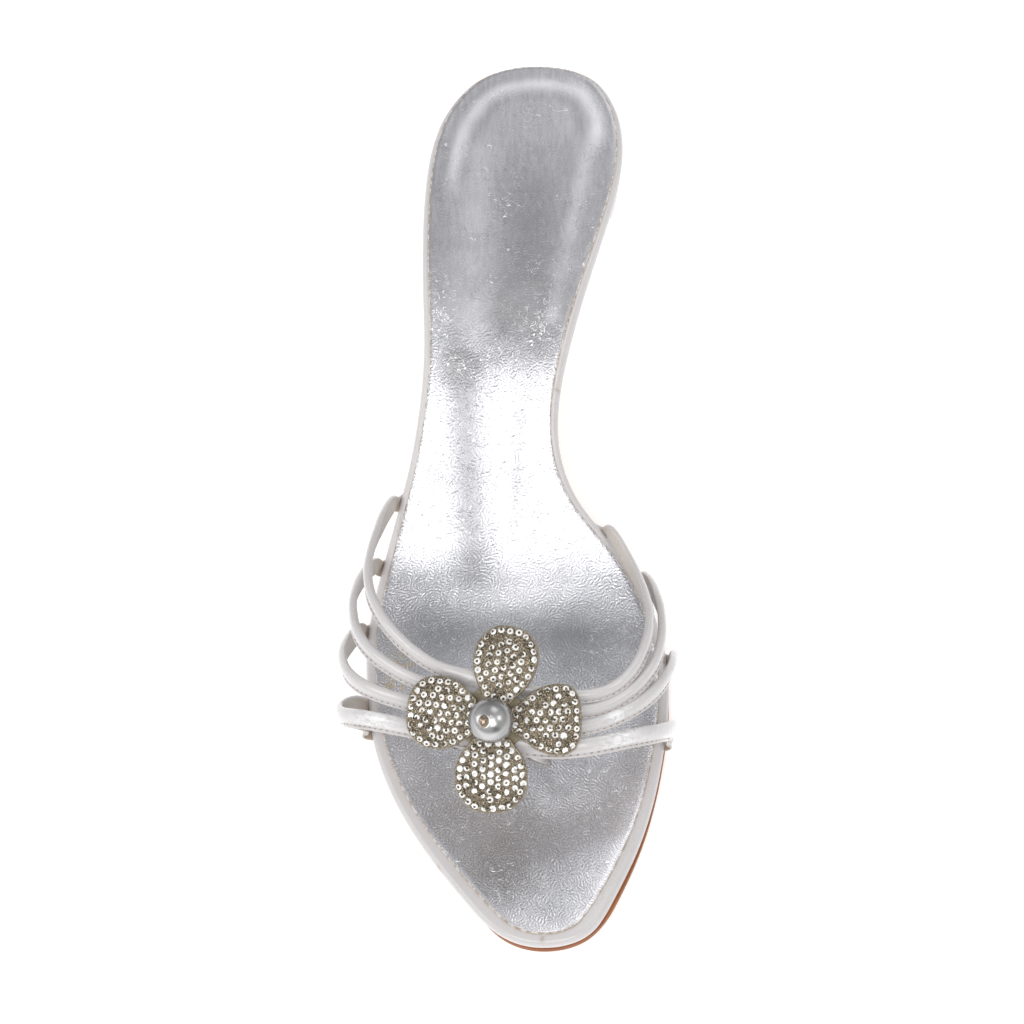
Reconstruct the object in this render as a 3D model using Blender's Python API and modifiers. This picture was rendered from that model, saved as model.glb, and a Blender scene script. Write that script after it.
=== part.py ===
"""A right-foot kitten heel mule: four narrow straps over a wrapped footbed, with a jewelled flower.

Lengths are millimetres until a mesh is made. "along" runs from the toe tip (0) to the heel (230),
"across" runs from the lateral side (negative) to the medial side (positive), and "up" is from
the floor. In the model the toe points to -Y, the medial side to +X, and the floor is Z = 0.
"""

from math import acos, cos, pi, radians, sin

import bmesh
import bpy
import numpy as np
from mathutils import Matrix, Vector

OBJECT_NAME = "kitten_heel_mule"
MM = 0.001

LENGTH = 230.0  # toe tip to heel, in plan
CENTRE_ACROSS = -3.37  # middle of the shoe's whole width, straps included
GAP = 0.3  # left between pieces that are glued or stitched together

OUTSOLE_THICK = 2.5
BOARD_THICK = 4.2
SOCK_THICK = 0.6
SOCK_BEVEL = 0.2
OUTSOLE_CHAMFER = 0.4
BREAST_ALONG = 187.5  # front face of the heel, where the outsole ends

SIDES = ("lateral", "medial")
MERGE_DISTANCE = 0.00001
SHARP_ANGLE = radians(40.0)  # edges sharper than this are shaded as creases

HEEL_TIP_HEIGHT = 5.0
HEEL_TIP_PROUD = 0.2
HEEL_TIP_BEVEL = 0.5
HEEL_SEAT_INSET = 0.5
HEEL_HOLLOW = 0.12  # depth of the front's hollow, in half widths
HEEL_ROUND_FROM = 0.42  # share of the heel's depth in front of its round back
HEEL_OWN_SHAPE_FROM = 0.3  # drop at which the seat's outline has given way to the heel's own

STRAP_THICK = 2.1
TAIL_THICK = 1.1  # skived end that is lasted under the board
TAIL_REACH = 5.5
TAIL_CLEARANCE = 0.3
SKIVE_LENGTH = 7.0  # over which a strap thickens to its full section
TAPER_LENGTH = 26.0  # over which it narrows from its end width
CROWN_EXTRA_WIDTH = 2.0  # the straps lap over each other under the flower
CROWN_REACH = 12.0

LAST_SIDE_HEIGHT = 16.0  # from the board up to the last's widest level
LAST_CENTRE_ACROSS = -1.5

FLOWER_ALONG = 47.3
FLOWER_ACROSS = -5.1
FLOWER_PITCH = radians(24.0)  # the instep's slope under the flower
PLATE_RADIUS = 8.0
PLATE_THICK = 0.9
PLATE_LIFT = 0.3  # over the crowned straps
PLATE_BOSS_RADIUS = 2.4
PLATE_BOSS_HEIGHT = 1.2
PETAL_THICK = 1.0
BEAD_RADIUS = 5.4
PIN_RADIUS = 1.3
PIN_NECK = 0.7
PIN_TILT = radians(14.0)


def columns(names, rows):
    """A table whose columns are read by name."""
    return dict(zip(names.split(), np.array(rows, float).T))


# Top of the wrapped board along its middle: toe spring, flat tread, arch and heel seat.
PROFILE = columns(
    "along up",
    [
        (0, 11.6),
        (12, 9.6),
        (30, 7.8),
        (48, 7.0),
        (80, 7.0),
        (98, 10.2),
        (122, 21.0),
        (150, 35.5),
        (178, 46.6),
        (205, 52.2),
        (230, 55.3),
    ],
)

# Edge of the sole, seen from above.
SOLE = columns(
    "along lateral medial",
    [
        (0, 6.4, 6.4),
        (3, -3.9, 17.0),
        (13, -13.8, 23.7),
        (32, -27.9, 31.4),
        (56, -38.4, 36.2),
        (70, -40.6, 37.1),
        (84, -41.1, 35.2),
        (99, -38.5, 29.1),
        (109.5, -35.6, 21.0),
        (116, -33.6, 15.0),
        (123.5, -31.4, 10.5),
        (137, -28.5, 8.2),
        (151, -27.0, 10.5),
        (166, -27.3, 14.9),
        (181, -27.6, 19.8),
        (200, -26.7, 24.5),
        (212, -24.0, 24.2),
        (221, -19.0, 20.9),
        (227, -12.1, 15.0),
        (230, 1.2, 1.2),
    ],
)

# The board's rounded edge, bottom first: inset in millimetres, depth in board thicknesses.
BOARD_EDGE = columns(
    "inset depth",
    [(2.0, 1.0), (0.7, 0.92), (0.1, 0.69), (0.0, 0.40), (0.35, 0.17), (1.1, 0.03), (2.2, 0.0)],
)

# How far the outsole's edge lies inside the board's on either side. It is trimmed closer at the waist.
OUTSOLE_INSET = columns(
    "along lateral medial",
    [(0, 0.3, 0.3), (15, 1.2, 0.5), (40, 1.4, 0.8), (90, 1.4, 0.8), (115, 1.2, 1.2), (188, 1.7, 1.7)],
)

# How far the silver sock stops short of the board's edge, which leaves the white rim.
SOCK_INSET = columns(
    "along lateral medial",
    [
        (0, 2.7, 2.7),
        (6, 3.3, 3.7),
        (16, 3.2, 3.3),
        (40, 2.9, 2.7),
        (85, 2.5, 2.4),
        (130, 1.9, 1.9),
        (200, 1.5, 1.4),
        (230, 1.4, 1.4),
    ],
)

# The last that the straps are shaped on: half widths at its widest level and height of its ridge.
LAST = columns(
    "along lateral medial ridge",
    [
        (38, -41.0, 34.5, 35.6),
        (52, -44.7, 38.0, 41.2),
        (66, -45.2, 38.4, 46.8),
        (80, -43.6, 36.3, 52.4),
        (95, -40.7, 33.0, 58.4),
        (118, -33.5, 20.0, 67.6),
    ],
)

# The straps from toe to heel: where each leaves the sole on either side, its width over the foot
# and its width where it is lasted under, how far its ends lean to the heel for each millimetre
# inwards, then its middle line over the foot, from side to side.
STRAPS = {
    "front": {
        "lateral_anchor": 61.5,
        "medial_anchor": 57.0,
        "width": 4.7,
        "lateral_end_width": 11.0,
        "medial_end_width": 7.0,
        "lateral_lean": 0.0,
        "medial_lean": 0.0,
        "route": columns(
            "along across up",
            [
                (56.2, -45.0, 20),
                (50.3, -37.0, 31.6),
                (45.3, -21.3, 36.2),
                (42.2, -5.0, 37.4),
                (41.2, 11.0, 35.8),
                (45.2, 27.2, 32.2),
                (51.4, 36.8, 22.2),
            ],
        ),
    },
    "second": {
        "lateral_anchor": 85.0,
        "medial_anchor": 77.2,
        "width": 4.0,
        "lateral_end_width": 4.6,
        "medial_end_width": 5.0,
        "lateral_lean": 0.5,
        "medial_lean": 0.3,
        "route": columns(
            "along across up",
            [
                (73.4, -45.1, 20.6),
                (59.8, -39.8, 31.8),
                (50.8, -20.8, 38.3),
                (47.0, -3.0, 39.4),
                (46.2, 15.5, 37.0),
                (56.5, 32.6, 31.8),
                (69.8, 38.1, 21.1),
            ],
        ),
    },
    "third": {
        "lateral_anchor": 102.0,
        "medial_anchor": 99.0,
        "width": 3.7,
        "lateral_end_width": 4.0,
        "medial_end_width": 3.6,
        "lateral_lean": 0.5,
        "medial_lean": 0.6,
        "route": columns(
            "along across up",
            [
                (87.6, -42.5, 25.7),
                (68.1, -37.9, 35.2),
                (55.0, -19.6, 40.2),
                (50.7, -1.0, 40.6),
                (50.6, 19.4, 37.4),
                (66.5, 34.3, 31.8),
                (88.8, 33.9, 20.9),
            ],
        ),
    },
    "rear": {
        "lateral_anchor": 117.2,
        "medial_anchor": 110.6,
        "width": 3.5,
        "lateral_end_width": 3.6,
        "medial_end_width": 2.8,
        "lateral_lean": 0.9,
        "medial_lean": 0.9,
        "route": columns(
            "along across up",
            [
                (99.7, -38.2, 29.2),
                (78.0, -35.9, 38.6),
                (60.0, -19.8, 42.0),
                (54.2, 0.0, 41.9),
                (55.3, 22.3, 38.1),
                (73.1, 32.4, 32.6),
                (99.8, 27.0, 17.6),
            ],
        ),
    },
}

# A strap's end: how far out of the board's edge and over its underside its middle line lies.
STRAP_TAIL = columns(
    "out up",
    [(-5.5, 0.85), (-1.6, 0.9), (1.05, 1.85), (1.55, 4.6)],
)

# A strap's section: a rolled, padded edge at the rear and a thin stitched flange at the front.
# "side" is in strap widths towards the heel, "out" is in thicknesses from the lining.
STRAP_SECTION = columns(
    "side out",
    [
        (-0.50, 0.08),
        (-0.50, 0.46),
        (-0.27, 0.58),
        (-0.02, 0.93),
        (0.26, 1.0),
        (0.46, 0.72),
        (0.50, 0.40),
        (0.42, 0.06),
        (-0.04, 0.0),
    ],
)

# The room that the board leaves for a strap's end: a section that is open on the outer side, and
# which of the strap's sections, counted from its end, lie under and beside the board.
POCKET_SECTION = columns("side out", [(-0.5, 0.0), (-0.5, 1.6), (0.5, 1.6), (0.5, 0.0)])
POCKETS = {"under": (0, 5), "beside": (4, 8)}

# The heel from its seat (0) to the top piece (1): a full seat, a hollow back and a slim stem.
HEEL = columns(
    "drop front back half_width",
    [
        (0.00, 188.0, 229.2, 25.0),
        (0.10, 189.8, 227.9, 23.2),
        (0.26, 194.4, 224.6, 17.6),
        (0.45, 199.6, 221.0, 11.6),
        (0.65, 203.2, 218.9, 7.9),
        (0.85, 205.0, 217.9, 6.3),
        (1.00, 205.2, 218.0, 6.1),
    ],
)

# A petal's half width from its root (0) to its tip (1), for a slim and for a full petal.
PETAL_WIDTH = columns(
    "reach slim full",
    [
        (0.00, 2.9, 4.4),
        (0.11, 3.7, 5.7),
        (0.21, 5.1, 7.0),
        (0.30, 6.3, 7.9),
        (0.40, 7.4, 8.5),
        (0.55, 8.4, 9.0),
        (0.72, 8.9, 9.0),
        (0.88, 8.7, 8.4),
        (1.00, 7.6, 7.4),
    ],
)

# The petals: direction in the flower's plane, root and tip from its middle, a factor on the width,
# how full it is (0 slim, 1 full) and how far its corners are rounded back.
PETALS = {
    "petal_top": {"turn": 78.0, "root": 4.4, "tip": 22.9, "breadth": 0.88, "full": 0.45, "round": 3.2},
    "petal_right": {"turn": 0.5, "root": 4.4, "tip": 21.4, "breadth": 0.97, "full": 0.0, "round": 1.8},
    "petal_bottom": {"turn": 268.5, "root": 4.4, "tip": 22.4, "breadth": 0.98, "full": 1.0, "round": 3.0},
    "petal_left": {"turn": 172.5, "root": 4.4, "tip": 21.0, "breadth": 0.97, "full": 1.0, "round": 2.2},
}
PETAL_ARCH = 1.2  # rise of a petal's middle over its root and tip
PETAL_FALL = 1.7  # drop of a petal's long edges under its middle
PETAL_FALL_REACH = 0.62  # share of the petal's length in which that drop grows
PETAL_TIP_FALL = 1.4

MATERIALS = {
    "white_leather": {"colour": (0.80, 0.77, 0.74), "roughness": 0.32, "metallic": 0.0},
    "silver_leather": {"colour": (0.55, 0.55, 0.57), "roughness": 0.34, "metallic": 0.85},
    "sole_leather": {"colour": (0.24, 0.10, 0.045), "roughness": 0.55, "metallic": 0.0},
    "tip_rubber": {"colour": (0.10, 0.08, 0.07), "roughness": 0.6, "metallic": 0.0},
    "antique_brass": {"colour": (0.23, 0.18, 0.10), "roughness": 0.38, "metallic": 1.0},
    "polished_silver": {"colour": (0.66, 0.66, 0.68), "roughness": 0.16, "metallic": 1.0},
}


def smooth_through(knots, values):
    """A smooth curve through a table that never overshoots it, so flat stretches stay flat."""
    step = np.diff(knots)
    rise = np.diff(values) / step
    slope = np.zeros(len(knots))
    slope[0] = rise[0]
    slope[-1] = rise[-1]
    for i in range(1, len(knots) - 1):
        if rise[i - 1] * rise[i] > 0:
            before = 2 * step[i] + step[i - 1]
            after = step[i] + 2 * step[i - 1]
            slope[i] = (before + after) / (before / rise[i - 1] + after / rise[i])

    def value(at):
        i = int(np.clip(np.searchsorted(knots, at) - 1, 0, len(step) - 1))
        t = min(max((at - knots[i]) / step[i], 0.0), 1.0)
        start = (1 + 2 * t) * (1 - t) ** 2 * values[i] + t * (1 - t) ** 2 * step[i] * slope[i]
        end = t * t * (3 - 2 * t) * values[i + 1] + t * t * (t - 1) * step[i] * slope[i + 1]
        return start + end

    return value


def natural_curve(knots, values):
    """The natural cubic spline through a few points."""
    count = len(knots)
    step = np.diff(knots)
    bend = np.eye(count)
    load = np.zeros(count)
    for i in range(1, count - 1):
        bend[i, i - 1 : i + 2] = (step[i - 1], 2 * (step[i - 1] + step[i]), step[i])
        load[i] = 6 * ((values[i + 1] - values[i]) / step[i] - (values[i] - values[i - 1]) / step[i - 1])
    second = np.linalg.solve(bend, load)

    def value(at):
        i = int(np.clip(np.searchsorted(knots, at) - 1, 0, count - 2))
        width = step[i]
        right = (at - knots[i]) / width
        left = 1 - right
        curve = ((left**3 - left) * second[i] + (right**3 - right) * second[i + 1]) * width**2 / 6
        return left * values[i] + right * values[i + 1] + curve

    return value


def end_angle(along):
    """Turns a distance along the sole into an angle, in which its round ends are smooth."""
    return acos(1 - 2 * min(max(along / LENGTH, 0.0), 1.0))


board_top = smooth_through(PROFILE["along"], PROFILE["up"])
sole_angles = np.array([end_angle(along) for along in SOLE["along"]])
lateral_edge = natural_curve(sole_angles, SOLE["lateral"])
medial_edge = natural_curve(sole_angles, SOLE["medial"])
outsole_inset = {side: smooth_through(OUTSOLE_INSET["along"], OUTSOLE_INSET[side]) for side in SIDES}
sock_inset = {side: smooth_through(SOCK_INSET["along"], SOCK_INSET[side]) for side in SIDES}
last_lateral = smooth_through(LAST["along"], LAST["lateral"])
last_medial = smooth_through(LAST["along"], LAST["medial"])
last_ridge = smooth_through(LAST["along"], LAST["ridge"])
heel_levels = [smooth_through(HEEL["drop"], HEEL[name]) for name in ("front", "back", "half_width")]


def ease(value):
    value = min(max(value, 0.0), 1.0)
    return value * value * (3 - 2 * value)


def sole_slope(along):
    return (board_top(along + 1) - board_top(along - 1)) / 2


def below_board_top(along, depth):
    """Height of the surface that lies depth under the board's top, measured square to it."""
    return board_top(along) - depth * (1 + sole_slope(along) ** 2) ** 0.5


def sole_ring(inset, extra=0.0, last_along=LENGTH, spans=44):
    """Points (along, across) round the sole: toe tip, lateral side to the heel, medial side back.

    inset holds a function of along for each side, and extra is added to it all round. A sole that
    ends before the heel ends in a straight edge across.
    """
    angles = [end_angle(last_along) * i / spans for i in range(spans + 1)]
    whole = last_along >= LENGTH
    back = angles[-2:0:-1] if whole else angles[:0:-1]
    ring = [(LENGTH / 2 * (1 - cos(a)), lateral_edge(a)) for a in angles]
    ring += [(LENGTH / 2 * (1 - cos(a)), medial_edge(a)) for a in back]
    points = np.array(ring)
    tangent = np.roll(points, -1, axis=0) - np.roll(points, 1, axis=0)
    if not whole:
        tangent[spans] = points[spans] - points[spans - 1]
        tangent[spans + 1] = points[spans + 2] - points[spans + 1]
    tangent /= np.linalg.norm(tangent, axis=1)[:, None]
    inward = np.stack([-tangent[:, 1], tangent[:, 0]], axis=1)
    sides = ["lateral"] * (spans + 1) + ["medial"] * len(back)
    depth = np.array([inset[side](point[0]) + extra for side, point in zip(sides, points)])
    points = points + inward * depth[:, None]
    if not whole:
        points[spans : spans + 2, 0] = last_along
    return points


def place(along, across, up):
    """A point of the shoe in the model's frame, in metres."""
    return Vector((across - CENTRE_ACROSS, along - LENGTH / 2, up)) * MM


def new_object(name, mesh, material, cutter=False):
    obj = bpy.data.objects.new(name, mesh)
    collection = cutters if cutter else parts
    collection.objects.link(obj)
    obj.data.materials.clear()
    obj.data.materials.append(material)
    obj.hide_render = cutter
    obj.display_type = "WIRE" if cutter else "TEXTURED"
    return obj


def make_material(name):
    look = MATERIALS[name]
    material = bpy.data.materials.new(name)
    material.use_nodes = True
    shader = material.node_tree.nodes["Principled BSDF"]
    shader.inputs["Base Color"].default_value = (*look["colour"], 1)
    shader.inputs["Roughness"].default_value = look["roughness"]
    shader.inputs["Metallic"].default_value = look["metallic"]
    material.diffuse_color = (*look["colour"], 1)
    return material


def loft(name, rings, ladder_caps=True):
    """A closed mesh through rings of equal count, each a list of points in metres.

    With ladder_caps the first and last ring are closed by rungs between their two sides, point i
    to point -i, so that the cap follows a curved sole. Otherwise each cap is one face.
    """
    mesh = bmesh.new()
    count = len(rings[0])
    rows = [[mesh.verts.new(point) for point in ring] for ring in rings]
    for low, high in zip(rows, rows[1:]):
        for i in range(count):
            j = (i + 1) % count
            mesh.faces.new((low[i], low[j], high[j], high[i]))
    for row in (rows[0], rows[-1]):
        if not ladder_caps:
            mesh.faces.new(row)
            continue
        for i in range(count // 2):
            corners = [row[i], row[i + 1], row[-i - 1], row[-i]]
            mesh.faces.new([corner for k, corner in enumerate(corners) if corner not in corners[:k]])
    bmesh.ops.recalc_face_normals(mesh, faces=mesh.faces)
    if mesh.calc_volume(signed=True) < 0:
        bmesh.ops.reverse_faces(mesh, faces=mesh.faces)
    data = bpy.data.meshes.new(name)
    mesh.to_mesh(data)
    mesh.free()
    data.shade_smooth()
    data.set_sharp_from_angle(angle=SHARP_ANGLE)
    return data


def sole_layer(name, material, inset, edge, last_along=LENGTH):
    """A layer of the sole. edge lists (extra inset, depth under the board's top), bottom first."""
    rings = []
    for extra, depth in edge:
        ring = sole_ring(inset, extra, last_along)
        rings.append([place(along, across, below_board_top(along, depth)) for along, across in ring])
    return new_object(name, loft(name, rings), material)


def make_outsole(material):
    top = BOARD_THICK + GAP
    bottom = top + OUTSOLE_THICK
    edge = [(OUTSOLE_CHAMFER, bottom), (0.0, bottom - OUTSOLE_CHAMFER), (0.0, top)]
    return sole_layer("outsole", material, outsole_inset, edge, BREAST_ALONG)


def make_board(material):
    """The footbed board wrapped in leather, with a rounded edge."""
    flush = {side: lambda along: 0.0 for side in SIDES}
    edge = [(inset, BOARD_THICK * depth) for inset, depth in zip(BOARD_EDGE["inset"], BOARD_EDGE["depth"])]
    return sole_layer("footbed_board", material, flush, edge)


def make_sock(material):
    """The silver insole sock, glued on the board inside its white rim."""
    bottom = -GAP
    top = bottom - SOCK_THICK
    edge = [(0.0, bottom), (0.0, top + SOCK_BEVEL), (2 * SOCK_BEVEL, top)]
    return sole_layer("insole_sock", material, sock_inset, edge)


def seat_across(along, side):
    """A place across the heel's seat: -1 is its lateral edge, 1 its medial edge."""
    angle = end_angle(along)
    lateral = lateral_edge(angle) + HEEL_SEAT_INSET
    medial = medial_edge(angle) - HEEL_SEAT_INSET
    return (lateral + medial) / 2 + side * (medial - lateral) / 2


def heel_ring(drop, proud=0.0):
    """One level of the heel as (along, across), from the middle of its front round the lateral side.

    The seat has the sole's own outline. Lower down the back is half an ellipse, the sides are
    straight and the front is hollow.
    """
    front, back, half_width = (level(drop) for level in heel_levels)
    front -= proud
    back += proud
    half_width += proud
    middle = front + HEEL_ROUND_FROM * (back - front)
    hollow = HEEL_HOLLOW * half_width * min(drop * 6, 1.0)
    half = [(front + hollow, 0.0, 0.0), (front + 0.75 * hollow, 0.43, 0.5), (front, 0.86, 1.0)]
    half.append((front + 0.35 * (middle - front), 0.97, 1.0))
    for i in range(8):
        angle = pi / 2 * (1 - i / 7)
        half.append((middle + (back - middle) * cos(angle), sin(angle), 1.0 if i < 7 else 0.0))
    own_shape = ease(drop / HEEL_OWN_SHAPE_FROM)
    ring = []
    for sign, part in ((-1, half), (1, half[-2:0:-1])):
        for along, share, side in part:
            seat = seat_across(along, sign * side)
            ring.append((along, seat + (sign * share * half_width - seat) * own_shape))
    return ring


def make_heel(material, levels=13):
    seat_depth = BOARD_THICK + GAP
    tip_top = HEEL_TIP_HEIGHT + GAP
    rings = []
    for level in range(levels):
        drop = level / (levels - 1)
        rings.append([])
        for along, across in heel_ring(drop):
            up = (1 - drop) * below_board_top(along, seat_depth) + drop * tip_top
            rings[-1].append(place(along, across, up))
    return new_object("heel", loft("heel", rings), material)


def make_heel_tip(material):
    """The top piece that the heel stands on."""
    edge = [(HEEL_TIP_PROUD - HEEL_TIP_BEVEL, 0.0), (HEEL_TIP_PROUD, HEEL_TIP_BEVEL)]
    edge.append((HEEL_TIP_PROUD, HEEL_TIP_HEIGHT))
    rings = [[place(along, across, up) for along, across in heel_ring(1.0, proud)] for proud, up in edge]
    return new_object("heel_top_piece", loft("heel_top_piece", rings), material)


def last_level(point):
    """How far out of the last's ridge line a point lies: 1 on the last's surface."""
    along, across, up = point
    side = last_lateral(along) if across < LAST_CENTRE_ACROSS else last_medial(along)
    widest = board_top(along) + LAST_SIDE_HEIGHT
    reach = last_ridge(along) - widest if up > widest else LAST_SIDE_HEIGHT + BOARD_THICK
    sideways = (across - LAST_CENTRE_ACROSS) / (side - LAST_CENTRE_ACROSS)
    return (sideways**2 + ((up - widest) / reach) ** 2) ** 0.5


def away_from_last(point):
    """Unit direction square to the last's surface, outwards."""
    step = 0.5
    slope = [last_level(point + step * axis) - last_level(point - step * axis) for axis in np.eye(3)]
    return np.array(slope) / np.linalg.norm(slope)


def strap_tail(anchor, side, lean):
    """From under the board, round its edge and up beside it, at one end of a strap."""
    tail = []
    for out, up in zip(STRAP_TAIL["out"], STRAP_TAIL["up"]):
        along = anchor + lean * (STRAP_TAIL["out"][-1] - out)
        edge = lateral_edge(end_angle(along)) if side < 0 else medial_edge(end_angle(along))
        tail.append((along, edge + side * out, below_board_top(along, BOARD_THICK) + up))
    return tail


def strap_middle(strap, spacing=3.2):
    """The strap's middle line as points about spacing apart, on a curve through its route."""
    route = strap["route"]
    over = list(zip(route["along"], route["across"], route["up"]))
    lateral = strap_tail(strap["lateral_anchor"], -1, strap["lateral_lean"])
    medial = strap_tail(strap["medial_anchor"], 1, strap["medial_lean"])
    knots = np.array(lateral + over + medial[::-1])
    reach = np.concatenate([[0], np.cumsum(np.linalg.norm(np.diff(knots, axis=0), axis=1) ** 0.5)])
    lines = [natural_curve(reach, knots[:, axis]) for axis in range(3)]
    points = []
    for i in range(len(knots) - 1):
        span = np.linalg.norm(knots[i + 1] - knots[i])
        steps = max(2, round(span / spacing))
        for k in range(steps):
            at = reach[i] + (reach[i + 1] - reach[i]) * k / steps
            points.append([line(at) for line in lines])
    points.append(knots[-1])
    return np.array(points)


def strap_rings(strap, section, clearance=0.0, only=None):
    """A strap's sections along its middle line, in metres. clearance makes it larger all round.

    only is the side and the first and last section, counted from that end, that are wanted.
    """
    middle = strap_middle(strap)
    travelled = np.concatenate([[0], np.cumsum(np.linalg.norm(np.diff(middle, axis=0), axis=1))])
    total = travelled[-1]
    crown = travelled[np.argmax(middle[:, 2])]
    rings = []
    for i, point in enumerate(middle):
        from_lateral = travelled[i]
        from_medial = total - travelled[i]
        if only:
            side, first, last = only
            if not first <= (i if side == "lateral" else len(middle) - 1 - i) <= last:
                continue
        before = middle[max(i - 1, 0)]
        after = middle[min(i + 1, len(middle) - 1)]
        forward = (after - before) / np.linalg.norm(after - before)
        out = away_from_last(point)
        out = out - forward * out.dot(forward)
        out /= np.linalg.norm(out)
        rear = np.cross(forward, out)
        if i == 0:
            point = point - forward * clearance
        if i == len(middle) - 1:
            point = point + forward * clearance
        near = min(from_lateral, from_medial)
        end_width = strap["lateral_end_width"] if from_lateral < from_medial else strap["medial_end_width"]
        width = strap["width"] + (end_width - strap["width"]) * (1 - ease((near - TAIL_REACH) / TAPER_LENGTH))
        width += CROWN_EXTRA_WIDTH * (1 - ease(abs(travelled[i] - crown) / CROWN_REACH))
        thick = TAIL_THICK + (STRAP_THICK - TAIL_THICK) * ease((near - TAIL_REACH + 1) / SKIVE_LENGTH)
        ring = []
        for side, depth in zip(section["side"], section["out"]):
            spread = side * (width + 2 * clearance)
            lift = (depth - 0.5) * (thick + 2 * clearance)
            ring.append(place(*(point + rear * spread + out * lift)))
        rings.append(ring)
    return rings


def hull(name, rings):
    """The convex solid round a few rings of points."""
    shape = bmesh.new()
    for ring in rings:
        for point in ring:
            shape.verts.new(point)
    bmesh.ops.convex_hull(shape, input=shape.verts)
    inner = [corner for corner in shape.verts if not corner.link_faces]
    bmesh.ops.delete(shape, geom=inner, context="VERTS")
    data = bpy.data.meshes.new(name)
    shape.to_mesh(data)
    shape.free()
    return data


def modifier_boolean(target, cutter, operation):
    change = target.modifiers.new(operation.lower() + "_" + cutter.name, "BOOLEAN")
    change.operation = operation
    change.solver = "EXACT"
    change.object = cutter


def make_upper(material, board):
    """The four straps as one solid, and the pockets that their ends take out of the board."""
    upper = None
    for name, strap in STRAPS.items():
        mesh = loft("strap_" + name, strap_rings(strap, STRAP_SECTION), ladder_caps=False)
        if upper is None:
            upper = new_object("upper_straps", mesh, material)
        else:
            strap_object = new_object("strap_" + name, mesh, material, cutter=True)
            modifier_boolean(upper, strap_object, "UNION")
        for side in SIDES:
            for where, stretch in POCKETS.items():
                rings = strap_rings(strap, POCKET_SECTION, TAIL_CLEARANCE, (side, *stretch))
                pocket_name = "pocket_" + name + "_" + side + "_" + where
                pocket = new_object(pocket_name, hull(pocket_name, rings), material, cutter=True)
                modifier_boolean(board, pocket, "DIFFERENCE")
    return upper


def flower_frame():
    """The flower's own frame: its X is the medial side, its Y runs up the instep, its Z is outwards."""
    origin = place(FLOWER_ALONG, FLOWER_ACROSS, last_ridge(FLOWER_ALONG))
    return Matrix.Translation(origin) @ Matrix.Rotation(FLOWER_PITCH, 4, "X")


def petal_surface(petal, rows=9, cross=8):
    """A petal's upper face: narrow at the root, broad and squared at the tip, arched both ways."""
    widths = PETAL_WIDTH["slim"] + petal["full"] * (PETAL_WIDTH["full"] - PETAL_WIDTH["slim"])
    half_width = smooth_through(PETAL_WIDTH["reach"], widths * petal["breadth"])
    turn = Matrix.Rotation(radians(petal["turn"]), 4, "Z")
    grid = []
    for row in range(rows + 1):
        reach = row / rows
        line = []
        for column in range(cross + 1):
            side = 2 * column / cross - 1
            tip = petal["tip"] - petal["round"] * abs(side) ** 3
            outward = petal["root"] + (tip - petal["root"]) * reach
            across = side * half_width(reach)
            rise = PETAL_ARCH * sin(pi * reach) - PETAL_TIP_FALL * reach**3
            fall = PETAL_FALL * side * side * sin(0.5 * pi * min(reach / PETAL_FALL_REACH, 1.0))
            line.append(turn @ Vector((outward, across, rise - fall)))
        grid.append(line)
    return grid


def make_petal(name, petal, material, lift):
    """A curved plate whose upper face is the petal's surface, lift over the flower's origin."""
    shape = bmesh.new()
    raised = Vector((0, 0, lift))
    grid = [[shape.verts.new(point + raised) for point in line] for line in petal_surface(petal)]
    for near, far in zip(grid, grid[1:]):
        for i in range(len(near) - 1):
            shape.faces.new((near[i], far[i], far[i + 1], near[i + 1]))
    bmesh.ops.recalc_face_normals(shape, faces=shape.faces)
    if sum(face.normal.z for face in shape.faces) < 0:
        bmesh.ops.reverse_faces(shape, faces=shape.faces)
    shape.transform(flower_frame() @ Matrix.Scale(MM, 4))
    data = bpy.data.meshes.new(name)
    shape.to_mesh(data)
    shape.free()
    data.shade_smooth()
    petal_object = new_object(name, data, material)
    wall = petal_object.modifiers.new("wall", "SOLIDIFY")
    wall.thickness = PETAL_THICK * MM
    wall.offset = -1
    wall.use_even_offset = False
    return petal_object


def turned(name, profile, material, segments, frame):
    """A solid turned about its frame's Z from a profile of (radius, height), from its top to its bottom."""
    points = [(radius * MM, 0, height * MM) for radius, height in profile]
    data = bpy.data.meshes.new(name)
    data.from_pydata(points, [(i, i + 1) for i in range(len(points) - 1)], [])
    turned_object = new_object(name, data, material)
    turned_object.matrix_world = frame
    spin = turned_object.modifiers.new("spin", "SCREW")
    spin.steps = segments
    spin.render_steps = segments
    spin.use_merge_vertices = True
    spin.merge_threshold = MERGE_DISTANCE
    spin.use_smooth_shade = True
    return turned_object


def make_bead(material, frame):
    shape = bmesh.new()
    bmesh.ops.create_uvsphere(shape, u_segments=24, v_segments=12, radius=BEAD_RADIUS * MM)
    data = bpy.data.meshes.new("bead")
    shape.to_mesh(data)
    shape.free()
    data.shade_smooth()
    bead = new_object("bead", data, material)
    bead.matrix_world = frame
    return bead


def make_pin(material, frame):
    """The domed head of the pin that holds the bead, a little off the bead's top."""
    base = BEAD_RADIUS + GAP
    dome = [(0, base + PIN_NECK + PIN_RADIUS)]
    for i in range(4, -1, -1):
        angle = pi / 2 * i / 5
        dome.append((PIN_RADIUS * cos(angle), base + PIN_NECK + PIN_RADIUS * sin(angle)))
    dome.append((PIN_NECK, base))
    dome.append((0, base))
    return turned("bead_pin", dome, material, 12, frame @ Matrix.Rotation(-PIN_TILT, 4, "Y"))


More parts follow.
